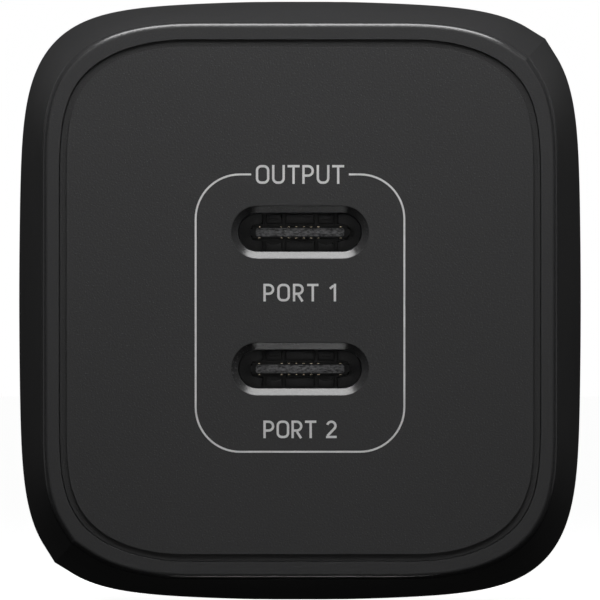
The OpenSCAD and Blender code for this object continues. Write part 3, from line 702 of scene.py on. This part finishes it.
def finish_for(slot, look):
    """The material of one of the record's slots."""
    base = COLOUR_OF[slot]
    case, panel, grain = look.case_colour, look.panel_colour, look.grain
    recipes = {
        # In the moulded rows the fifth value is the amount of painted glints.
        "case_plastic": (moulded, case, look.case_roughness, grain, 0.12, 0.4, 0.26),
        # The panel row's last value darkens its groove's floor: painted shade.
        "panel_plastic": (moulded, panel, look.panel_roughness, grain, 0.16, 0.45, 0.26, 0.68),
        "cover_plastic": (moulded, base, 0.5, grain, 0.1, 0.4),
        "plug_plastic": (moulded, base, 0.38, grain * 1.4, 0.0, 0.2),
        "insulator_plastic": (insulator, look.insulator_colour, 0.42),
        "chip_epoxy": (moulded, base, 0.55, 0.06 * MM, 0.1, 0.3),
        "bobbin_plastic": (moulded, base, 0.45, 0.3 * MM),
        "film_case": (moulded, base, 0.4, 0.3 * MM),
        "opto_plastic": (moulded, base, 0.5, 0.1 * MM),
        "pad_silicone": (moulded, base, 0.75, 0.4 * MM),
        "print_ink": (printed, look.ink_colour),
        "board_laminate": (laminate, base),
        "ferrite": (fired, base, 0.6),
        "disc_blue": (fired, base, 0.3),
        "disc_green": (fired, base, 0.3),
        "fuse_body": (fired, base, 0.35),
        "copper": (wound, base),
        "tape": (film, base, 0.3),
        "capacitor_sleeve": (film, base, 0.32),
        "sheet_paper": (fibre, base),
        "blade_metal": (metal, base, 0.3, (1.0, 0.06, 0.06), 0.03 * MM),
        "contact_gold": (metal, look.gold_colour, 0.22, (1.0, 0.1, 1.0)),
        "shell_steel": (metal, base, 0.38, (1.0, 0.08, 1.0)),
        "plate_steel": (sheared, shade(base, 0.7)[:3], 0.42),
    }
    plain_metal = (metal, base, 0.32, (0.1, 1.0, 1.0))
    maker, *values = recipes.get(slot, plain_metal)
    return maker(slot, *values)


MADE = {}


def material(slot):
    """The material of a slot, made once."""
    if slot not in MADE:
        MADE[slot] = finish_for(slot, bpy.context.scene.charger_finish)
    return MADE[slot]


# ---- Pieces ------------------------------------------------------------------------------------


class CHARGER_OT_sleeve(bpy.types.Operator):
    """Build the casing's sleeve: bowed flanks, two creased corners, the rim and the lip"""

    bl_idname = "charger.sleeve"
    bl_label = "Casing sleeve"

    def execute(self, context):
        case = context.scene.charger_case
        rim, lip, _panel, wide = case_outlines(case)
        back_draw, back_from = 0.3 * MM, -14 * MM
        cover_seat, cover_depth, cavity_wall = 1.7 * MM, 2.2 * MM, 2.1 * MM
        steps, soft, flank_rows, back_rows = case.steps, case.soft_edge, 24, 8

        def section(y, inset):
            """The outer outline at y, drawn in by inset."""
            depth = y - FRONT_Y
            share_gone = 1 - (1 - min(1.0, depth / case.flank_depth)) ** 2
            drawn = back_draw * max(0.0, 1 - y / back_from) ** 2 if y > back_from else 0.0
            inset += drawn
            widest = bowed(wide.inset(inset).loop(case.steps), wide, case)
            points = mix_loops(rim.inset(inset).loop(case.steps), widest, share_gone)
            top = HALF_H - inset
            return creased([(x, max(-top, min(top, z))) for x, z in points], case)

        shape, outer = Shape(), []
        for c, s in rounding(8):
            y = FRONT_Y + case.front_edge * c
            outer.append(shape.loop(section(y, case.front_edge * s), y))
        for i in range(1, flank_rows + 1):
            behind = (case.flank_depth - case.front_edge) * (i / flank_rows) ** 1.3
            y = FRONT_Y + case.front_edge + behind
            outer.append(shape.loop(section(y, 0.0), y))
        for i in range(back_rows):
            y = back_from * (1 - i / back_rows)
            outer.append(shape.loop(section(y, 0.0), y))
        for c, s in rounding(8):
            y = -case.back_edge * s
            outer.append(shape.loop(section(y, case.back_edge * c), y))
        seat, cavity = lip.inset(-SEAT_STEP).loop(steps), wide.inset(cavity_wall).loop(steps)
        cover = wide.inset(cover_seat).loop(steps)
        inner = [
            shape.loop(wide.inset(cover_seat - soft).loop(steps), 0.0),
            shape.loop(cover, -soft),
            shape.loop(cover, -cover_depth),
            shape.loop(cavity, -cover_depth),
            shape.loop(cavity, FRONT_Y + case.flank_depth - 2 * MM),
            shape.loop(seat, PANEL_BACK_Y + 0.1 * MM),
            shape.loop(seat, FRONT_Y + LIP_DEPTH),
            shape.loop(lip.loop(steps), FRONT_Y + LIP_DEPTH),
        ]
        lip_edge = [shape.loop(lip.inset(-soft * c).loop(steps), FRONT_Y + soft * s)
                    for c, s in rounding(4)]
        shape.bands(outer + inner + lip_edge, ring=True)
        shape.sharpen(outer[0], outer[-1], *inner, lip_edge[0], lip_edge[-1])
        for column in crease_columns(steps):
            for a, b in zip(outer, outer[1:]):
                shape.bm.edges.get((a[column], b[column])).smooth = False
        shape.piece("case_sleeve", "case_plastic", "outer_sleeve")
        return {"FINISHED"}


class CHARGER_OT_panel(bpy.types.Operator):
    """Build the inset front panel with its bevelled port holes and the groove's floor"""

    bl_idname = "charger.panel"
    bl_label = "Front panel"

    def execute(self, context):
        case, ports = context.scene.charger_case, context.scene.charger_ports
        _rim, lip, panel, _wide = case_outlines(case)
        steps, soft, fit = case.steps, case.soft_edge, 0.05 * MM
        floor_y = FRONT_Y + case.groove_depth
        shape = Shape()
        edge = [shape.loop(panel.inset(soft * s).loop(steps), FRONT_Y + soft * c)
                for c, s in rounding(4)]
        ledge, flange = lip.inset(fit).loop(steps), lip.inset(fit - SEAT_STEP).loop(steps)
        rest = [
            shape.loop(panel.loop(steps), floor_y),
            shape.loop(ledge, floor_y),
            shape.loop(ledge, FRONT_Y + LIP_DEPTH),
            shape.loop(flange, FRONT_Y + LIP_DEPTH),
            shape.loop(flange, PANEL_BACK_Y),
        ]
        shape.bands(edge + rest)
        shape.sharpen(edge[0], edge[-1], *rest)
        front_holes, back_holes = [], []
        shell_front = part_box("receptacle_shell_1")[0].y
        width, height, bevel = ports.hole_width, ports.hole_height, ports.bevel
        socket_w = ports.shell_width + 2 * ports.shell_wall + 0.22 * MM
        socket_h = ports.shell_height + 2 * ports.shell_wall + 0.18 * MM
        sizes = [(bevel + 0.02 * MM, 0.0), (bevel - 0.02 * MM, 0.014 * MM),
                 (0.02 * MM, ports.bevel_depth - 0.01 * MM),
                 (0.0, ports.bevel_depth + 0.02 * MM), (0.0, shell_front - FRONT_Y)]
        for side in PORTS.values():
            middle = side * ports.pitch / 2
            loops = [shape.loop(placed(stadium(width + 2 * grow, height + 2 * grow), middle),
                                FRONT_Y + depth) for grow, depth in sizes]
            socket = placed(stadium(socket_w, socket_h), middle)
            loops += [shape.loop(socket, shell_front), shape.loop(socket, PANEL_BACK_Y)]
            shape.bands(loops)
            shape.sharpen(*loops)
            front_holes.append(loops[0])
            back_holes.append(loops[-1])
        shape.fill(edge[0], *front_holes)
        shape.fill(rest[-1], *back_holes)
        post_r, post_x, post_rows = 1.2 * MM, 9.8 * MM, (-11 * MM, 12 * MM)
        post_y, board_y = PANEL_BACK_Y - 0.2 * MM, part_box("output_board")[0].y
        for x in (-post_x, post_x):
            for z in post_rows:
                shape.prism(arc((x, z), post_r, post_r, 0, 345, 23), post_y, board_y)
        shape.piece("front_plate", "panel_plastic", "front_panel")
        return {"FINISHED"}


class CHARGER_OT_ports(bpy.types.Operator):
    """Build both receptacles: shells, moulded housings with blocks and tongues, and contacts"""

    bl_idname = "charger.ports"
    bl_label = "Ports"

    def execute(self, context):
        ports = context.scene.charger_ports
        for name, side in PORTS.items():
            middle = side * ports.pitch / 2
            self.shell(ports, name, middle)
            self.housing(ports, name, middle)
            self.plate(ports, name, middle)
            self.contacts(ports, name, middle)
        return {"FINISHED"}

    def shell(self, ports, name, middle):
        """The stamped shell: a rounded nose, thin walls and four tabs behind."""
        low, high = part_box(f"receptacle_shell_{name}")
        back_y = low.y + 7.1 * MM
        wall, lip = ports.shell_wall, 0.1 * MM
        sizes = [(0.0, back_y), (0.0, low.y + 0.14 * MM), (0.02 * MM, low.y + 0.07 * MM),
                 (0.07 * MM, low.y + 0.02 * MM), (lip + 0.02 * MM, low.y),
                 (wall - 0.08 * MM, low.y), (wall, low.y + 0.08 * MM), (wall, back_y)]
        shape, loops = Shape(), []
        for grow, y in sizes:
            outline = stadium(ports.shell_width + 2 * grow, ports.shell_height + 2 * grow)
            loops.append(shape.loop(placed(outline, middle), y))
        shape.bands(loops, ring=True)
        shape.sharpen(loops[0], loops[-1])
        tab_x, tab_z, half_x, half_z = 4.32 * MM, 0.75 * MM, 0.12 * MM, 0.4 * MM
        for x in (-tab_x, tab_x):
            for z in (-tab_z, tab_z):
                shape.block((x - half_x, back_y - 0.6 * MM, middle + z - half_z),
                            (x + half_x, high.y, middle + z + half_z), 0.04 * MM)
        shape.piece(f"port_shell_{name}", "shell_steel", f"receptacle_shell_{name}")

    def housing(self, ports, name, middle):
        """The moulded insulator: its body, the ring of blocks and end caps, and the tongue."""
        low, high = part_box(f"receptacle_housing_{name}")
        block_y, base_y = low.y + RING_DEPTH, low.y + RING_DEPTH + 0.6 * MM
        half_w, half_h = ports.shell_width / 2, ports.shell_height / 2 - 0.02 * MM
        inner_w, inner_h, inner_r = 3.33 * MM, 0.58 * MM, 0.2 * MM
        centre, side_in, side_out, cap_in = 0.96 * MM, 1.24 * MM, 2.3 * MM, 2.52 * MM
        tab_in, tab_out, tab_low, tab_high = 1.46 * MM, 2.14 * MM, 0.82 * MM, 0.96 * MM
        soft = 0.05 * MM
        shape = Shape()
        body = stadium(2 * half_w - 0.04 * MM, 2 * half_h)
        shape.prism(placed(body, middle), base_y, high.y)
        for up in (1, -1):
            block = [(-centre, inner_h), (centre, inner_h), (centre, half_h), (-centre, half_h)]
            shape.prism(placed(block, middle, up=up), block_y, base_y, soft)
            for side in (1, -1):
                edge = ([(side_in, inner_h), (side_out, inner_h)] if up > 0 else
                        arc(((side_in + side_out) / 2, inner_h + 0.04 * MM),
                            (side_out - side_in) / 2, 0.2 * MM, 180, 0, 8))
                block = edge + [(side_out, half_h), (side_in, half_h)]
                shape.prism(placed(block, middle, side, up), block_y + 0.06 * MM, base_y, soft)
        corner_x, corner_z = inner_w - inner_r, inner_h - inner_r
        for side in (1, -1):
            across = sorted((side * tab_in, side * tab_out))
            shape.block((across[0], block_y - 0.2 * MM, middle + tab_low),
                        (across[1], base_y, middle + tab_high), soft)
            cap = [(cap_in, half_h)]
            cap += arc((half_w - half_h, 0.0), half_h - 0.01 * MM, half_h, 90, -90, 20)
            cap += [(cap_in, -half_h), (cap_in, -inner_h)]
            cap += arc((corner_x, -corner_z), inner_r, inner_r, -90, 0, 4)
            cap += arc((corner_x, corner_z), inner_r, inner_r, 0, 90, 4)
            cap.append((cap_in, inner_h))
            shape.prism(placed(cap, middle, side), block_y, base_y, soft)
        tongue = stadium_box(ports.tongue_width, ports.tongue_height, 0.14 * MM)
        shape.prism(placed(tongue, middle), low.y + 0.06 * MM, base_y + 0.2 * MM, 0.1 * MM, 3)
        shape.piece(f"port_housing_{name}", "insulator_plastic", f"receptacle_housing_{name}")

    def plate(self, ports, name, middle):
        """The steel plate in the tongue, with its punched nose."""
        low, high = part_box(f"mid_plate_{name}")
        nose_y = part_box(f"receptacle_housing_{name}")[0].y - 0.06 * MM
        plate_y = low.y + 0.1 * MM
        shape = Shape()
        nose = stadium_box(ports.nose_width, ports.nose_height, 0.1 * MM)
        shape.prism(placed(nose, middle), nose_y, plate_y, 0.05 * MM, 3)
        shape.block((low.x, plate_y, low.z), (high.x, high.y, high.z), 0.02 * MM)
        shape.piece(f"port_plate_{name}", "plate_steel", f"mid_plate_{name}")

    def contacts(self, ports, name, middle):
        """The two rows of gold contacts, each with its bent tail behind."""
        low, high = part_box(f"upper_contacts_{name}")
        half = ports.contact_width / 2
        places = [s * ports.contact_pitch * k for s in (-1, 1) for k in (0.5, 1.5, 2.5, 5.5)]
        inner, outer, tail_end = 0.3 * MM, 0.43 * MM, 1.08 * MM
        blade_end, tail_y = high.y - 0.05 * MM, high.y - 0.13 * MM
        for row, up in (("upper", 1), ("lower", -1)):
            shape = Shape()
            blade = sorted((middle + up * inner, middle + up * outer))
            tail = sorted((middle + up * inner, middle + up * tail_end))
            for x in places:
                shape.block((x - half, low.y, blade[0]), (x + half, blade_end, blade[1]),
                            0.035 * MM)
                shape.block((x - half, tail_y, tail[0]), (x + half, high.y, tail[1]), 0.02 * MM)
            shape.piece(f"port_contacts_{row}_{name}", "contact_gold", f"{row}_contacts_{name}")


def stadium_box(width, height, radius, per_corner=5):
    """A rectangle with rounded corners, counter-clockwise from the lower right."""
    x, z = width / 2 - radius, height / 2 - radius
    loop = []
    for cx, cz, start in ((x, -z, -90), (x, z, 0), (-x, z, 90), (-x, -z, 180)):
        loop += arc((cx, cz), radius, radius, start, start + 90, per_corner)
    return loop


# ---- Print -------------------------------------------------------------------------------------


def strokes(letter, pen):
    """A letter's width and its strokes, for a capital height of 1. A stroke is (points, closed)."""
    h, top, middle = pen / 2, 1 - pen / 2, 0.5
    if letter == "O":
        w, r = 0.72, 0.3
        loop = arc((w - r, 1 - r), r - h, r - h, 0, 90) + arc((r, 1 - r), r - h, r - h, 90, 180)
        loop += arc((r, r), r - h, r - h, 180, 270) + arc((w - r, r), r - h, r - h, 270, 360)
        return w, [(loop, True)]
    if letter == "U":
        w, r = 0.68, 0.3
        run = [(h, 1.0)] + arc((r, r), r - h, r - h, 180, 270)
        run += arc((w - r, r), r - h, r - h, 270, 360) + [(w - h, 1.0)]
        return w, [(run, False)]
    if letter == "T":
        w = 0.64
        return w, [([(0.0, top), (w, top)], False), ([(w / 2, 0.0), (w / 2, 1 - pen)], False)]
    if letter in "PR":
        w = 0.62
        r = (top - middle + h) / 2
        bowl = arc((w - h - r, top - r), r, r, 90, -90)
        found = [([(h, 0.0), (h, top)] + bowl + [(pen, top - 2 * r)], False)]
        if letter == "R":
            foot = top - 2 * r - h
            found.append(([(w * 0.5, foot), (w - h * 1.1, 0.0)], False))
            w += 0.02
        return w, found
    if letter == "1":
        w, x = 0.4, 0.3
        return w, [([(x, 0.0), (x, 1.0)], False), ([(x - h, 0.9), (0.02, 0.72)], False)]
    if letter == "2":
        w, r = 0.6, 0.3 - h
        hook = arc((0.3, top - r), r, r, 165, -35, 14)
        return w, [(hook + [(h * 1.2, pen)], False), ([(0.0, h), (w, h)], False)]
    return 0.3, []


def ribbon(shape, points, closed, pen, depth):
    """A flat inked stroke along (x, z) points, standing on the front panel."""
    count = len(points)
    left, right = [], []
    for i in range(count):
        here = Vector(points[i])
        before = Vector(points[i - 1]) if closed or i else here
        after = Vector(points[(i + 1) % count]) if closed or i < count - 1 else here
        into, out = (here - before), (after - here)
        into = into.normalized() if into.length > 1e-9 else out.normalized()
        out = out.normalized() if out.length > 1e-9 else into
        bisector = (into + out).normalized()
        reach = pen / 2 / max(0.5, bisector.dot(into))
        side = Vector((-bisector.y, bisector.x)) * reach
        left.append(here + side)
        right.append(here - side)
    top_y = FRONT_Y - depth
    rows = [[shape.bm.verts.new((p.x, y, p.y)) for p in edge]
            for edge, y in ((left, FRONT_Y), (left, top_y), (right, top_y), (right, FRONT_Y))]
    last = count if closed else count - 1
    for i in range(last):
        j = (i + 1) % count
        for a, b in zip(rows, rows[1:] + rows[:1]):
            shape.bm.faces.new((a[i], a[j], b[j], b[i]))
    if not closed:
        shape.bm.faces.new([row[0] for row in rows])
        shape.bm.faces.new([row[-1] for row in rows])


def write_words(words, height, width, pen, middle, depth):
    """A caption as one shape: words in single-line capitals, spread over width."""
    shape = Shape()
    found = [strokes(letter, pen / height) for letter in words]
    spacing = (width - sum(w for w, _ in found) * height) / (len(words) - 1)
    x, z = -width / 2, middle - height / 2
    for w, lines in found:
        for k, (points, closed) in enumerate(lines):
            placed = [(x + px * height, z + pz * height) for px, pz in points]
            ribbon(shape, placed, closed, pen, depth * (1 + 0.1 * k))
        x += w * height + spacing
    return shape


class CHARGER_OT_print(bpy.types.Operator):
    """Print the frame line round the ports and the generic captions"""

    bl_idname = "charger.print"
    bl_label = "Print"

    def execute(self, context):
        ink, ports = context.scene.charger_print, context.scene.charger_ports
        half_w, half_h, r = ink.frame_width / 2, ink.frame_height / 2, ink.frame_corner
        top, bottom = ink.frame_middle + half_h, ink.frame_middle - half_h
        line = [(-ink.gap / 2, top)]
        line += arc((r - half_w, top - r), r, r, 90, 180, 16)
        line += arc((r - half_w, bottom + r), r, r, 180, 270, 16)
        line += arc((half_w - r, bottom + r), r, r, 270, 360, 16)
        line += arc((half_w - r, top - r), r, r, 0, 90, 16)
        line.append((ink.gap / 2, top))
        shape = Shape()
        ribbon(shape, line, False, ink.line_width, ink.ink_depth)
        shape.piece("printed_frame", "print_ink")
        title = write_words(ink.title, ink.title_height, ink.title_width, ink.pen, top,
                            ink.ink_depth)
        title.piece("printed_title", "print_ink")
        for name, side in PORTS.items():
            middle = side * ports.pitch / 2 - ink.caption_drop
            caption = write_words(f"{ink.caption} {name}", ink.caption_height, ink.caption_width,
                                  ink.pen, middle, ink.ink_depth)
            caption.piece(f"printed_caption_{name}", "print_ink")
        return {"FINISHED"}


# ---- Carried-over nodes ------------------------------------------------------------------------

# Edge widths in millimetres of the nodes that are softened more than the others.
SOFT_EDGES = {"back_cover": 0.12, "plug_rotor": 0.15, "blade_left": 0.22, "blade_right": 0.22}


class CHARGER_OT_nodes(bpy.types.Operator):
    """Give every carried-over CAD node its finish and softened edges"""

    bl_idname = "charger.nodes"
    bl_label = "Carried-over nodes"

    def execute(self, context):
        for name, node in frame["nodes"].items():
            if node.hide_render:
                continue
            node.data.materials.clear()
            node.data.materials.append(material(SLOT_OF[name]))
            low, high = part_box(name)
            weld = node.modifiers.new("weld", "WELD")
            weld.merge_threshold = 1e-6
            flat = node.modifiers.new("flats", "DECIMATE")
            flat.decimate_type = "DISSOLVE"
            flat.angle_limit = math.radians(0.5)
            bevel = node.modifiers.new("soft_edges", "BEVEL")
            bevel.width = min(SOFT_EDGES.get(name, 0.06) * MM, min(high - low) * 0.12)
            bevel.segments = 2
            bevel.limit_method = "ANGLE"
            bevel.angle_limit = math.radians(35)
            bevel.harden_normals = False
            for polygon in node.data.polygons:
                polygon.use_smooth = True
            node.modifiers.new("even_normals", "WEIGHTED_NORMAL").keep_sharp = True
        return {"FINISHED"}


# ---- Stage -------------------------------------------------------------------------------------


class CHARGER_OT_stage(bpy.types.Operator):
    """Set the pale floor, the soft lights, the white surroundings and the straight-on camera"""

    bl_idname = "charger.stage"
    bl_label = "Stage"

    def execute(self, context):
        stage = context.scene.charger_stage
        low, _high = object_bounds()
        floor_gap, soft, narrow = 0.02 * MM, 180, 10
        self.floor(stage, low.z - floor_gap)
        middle = Vector((0.0, -45 * MM, 0.0))
        wall_face = Vector((0.0, 0.0, 0.0))
        underside = Vector((0.0, -14 * MM, low.z))
        side, rear, spot = (0.3, 0.4), (0.3, 0.3), (0.02, 0.02)
        lamps = [
            ("key_light", middle, 0, 62, 0.14, (0.12, 0.055), stage.key_power, soft),
            ("fill_light", middle, 0, 45, 0.14, (0.2, 0.1), stage.fill_power, soft),
            ("front_light", middle, 0, 1, 0.6, (0.4, 0.06), stage.front_power, soft),
            ("left_light", middle, -90, 5, 0.6, side, stage.side_power, soft),
            ("right_light", middle, 90, 5, 0.6, side, stage.side_power, soft),
            ("left_rear_light", middle, -130, 20, 0.6, rear, stage.rear_side_power, soft),
            ("right_rear_light", middle, 130, 20, 0.6, rear, stage.rear_side_power, soft),
            ("port_light", middle, 0, -58, 0.14, (0.02, 0.012), stage.port_power, narrow),
            ("left_back_light", wall_face, -145, 25, 0.3, spot, stage.back_power, narrow),
            ("right_back_light", wall_face, 145, 10, 0.3, spot, stage.back_power, narrow),
            ("under_light", underside, 180, -60, 0.15, (0.01, 0.01), stage.under_power, narrow),
        ]
        for lamp in lamps:
            self.light(*lamp)
        self.surroundings(context.scene, stage)
        self.camera(context.scene, stage)
        context.scene.view_settings.view_transform = "Standard"
        return {"FINISHED"}

    def floor(self, stage, z):
        """The pale floor, seen from above only, which neither shades nor reflects."""
        half = 4.0
        mesh = bpy.data.meshes.new("floor")
        corners = [(-half, -half, z), (half, -half, z), (half, half, z), (-half, half, z)]
        mesh.from_pydata(corners, [], [(0, 1, 2, 3)])
        floor = bpy.data.objects.new("floor", mesh)
        paint = Finish("floor_paint", stage.floor_colour, 0.7, specular=0.2)
        paint.set("Emission Color", (1.0, 1.0, 1.0, 1.0))
        paint.set("Emission Strength", 0.97)
        grain = paint.noise(3 * MM, detail=3.0)
        paint.mottle(grain * 0.2 + 0.4, stage.floor_colour, 0.97, 1.03)
        under = paint.node("ShaderNodeNewGeometry", {}, {}, "Backfacing")
        clear = paint.node("ShaderNodeBsdfTransparent", {}, {})
        top = Wire(paint, paint.shader.outputs[0])
        one_sided = paint.node("ShaderNodeMixShader", {}, {0: under, 1: top, 2: clear})
        paint.plug(paint.tree.nodes["Material Output"].inputs["Surface"], one_sided)
        mesh.materials.append(paint.material)
        bpy.context.scene.collection.objects.link(floor)
        floor.visible_diffuse = False
        floor.visible_glossy = False
        floor.visible_shadow = False
        floor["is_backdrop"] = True

    def light(self, name, target, azimuth, elevation, distance, size, power, spread):
        """A lamp at a direction and distance from its target, all angles in degrees."""
        turn, rise = math.radians(azimuth), math.radians(elevation)
        way = Vector((math.sin(turn) * math.cos(rise), -math.cos(turn) * math.cos(rise),
                      math.sin(rise)))
        data = bpy.data.lights.new(name, "AREA")
        data.shape = "RECTANGLE"
        data.size, data.size_y = size
        data.energy = power
        data.spread = math.radians(spread)
        lamp = bpy.data.objects.new(name, data)
        lamp.location = target + way * distance
        lamp.rotation_mode = "QUATERNION"
        lamp.rotation_quaternion = (-way).to_track_quat("-Z", "Y")
        lamp.visible_camera = False
        bpy.context.scene.collection.objects.link(lamp)

    def surroundings(self, scene, stage):
        """White behind the object, and a dim even light on it."""
        world = bpy.data.worlds.new("white_room")
        world.use_nodes = True
        tree = world.node_tree
        tree.nodes.clear()
        path = tree.nodes.new("ShaderNodeLightPath")
        seen, dim = tree.nodes.new("ShaderNodeBackground"), tree.nodes.new("ShaderNodeBackground")
        seen.inputs["Color"].default_value = (1.0, 1.0, 1.0, 1.0)
        dim.inputs["Color"].default_value = (*[stage.ambient] * 3, 1.0)
        mix, output = tree.nodes.new("ShaderNodeMixShader"), tree.nodes.new("ShaderNodeOutputWorld")
        tree.links.new(path.outputs["Is Camera Ray"], mix.inputs[0])
        tree.links.new(dim.outputs[0], mix.inputs[1])
        tree.links.new(seen.outputs[0], mix.inputs[2])
        tree.links.new(mix.outputs[0], output.inputs["Surface"])
        scene.world = world

    def camera(self, scene, stage):
        """The straight-on camera."""
        data = bpy.data.cameras.new("camera")
        data.sensor_width = 36.0
        data.lens = data.sensor_width * stage.distance / stage.view_width
        data.clip_start, data.clip_end = 0.05, 50.0
        camera = bpy.data.objects.new("camera", data)
        camera.location = (0.0, FRONT_Y - stage.distance, stage.aim)
        camera.rotation_euler = (math.pi / 2, 0.0, 0.0)
        scene.collection.objects.link(camera)
        scene.camera = camera


# ---- Panel, registration and run ---------------------------------------------------------------

BUILDERS = [CHARGER_OT_sleeve, CHARGER_OT_panel, CHARGER_OT_ports, CHARGER_OT_print,
            CHARGER_OT_nodes, CHARGER_OT_stage]


class CHARGER_PT_panel(bpy.types.Panel):
    """The charger's settings and builders"""

    bl_idname = "CHARGER_PT_panel"
    bl_label = "Wall charger"
    bl_space_type = "VIEW_3D"
    bl_region_type = "UI"
    bl_category = "Charger"

    def draw(self, context):
        """The builders as buttons, and a box for each group of settings."""
        for builder in BUILDERS:
            self.layout.operator(builder.bl_idname)
        for name, group in SETTINGS.items():
            box = self.layout.box()
            box.label(text=group.__doc__)
            settings = getattr(context.scene, name)
            for key in group.__annotations__:
                box.prop(settings, key)


CLASSES = [*SETTINGS.values(), *BUILDERS, CHARGER_PT_panel]


def register():
    """Registers the classes and puts the settings on the scene."""
    for cls in CLASSES:
        bpy.utils.register_class(cls)
    for name, group in SETTINGS.items():
        setattr(bpy.types.Scene, name, PointerProperty(type=group))


def unregister():
    """Takes the settings and the classes away again."""
    for name in SETTINGS:
        delattr(bpy.types.Scene, name)
    for cls in reversed(CLASSES):
        bpy.utils.unregister_class(cls)


def main():
    """Registers the add-on and builds everything in order."""
    register()
    bpy.ops.charger.sleeve()
    bpy.ops.charger.panel()
    bpy.ops.charger.ports()
    bpy.ops.charger.print()
    bpy.ops.charger.nodes()
    bpy.ops.charger.stage()


if __name__ == "__main__":
    main()
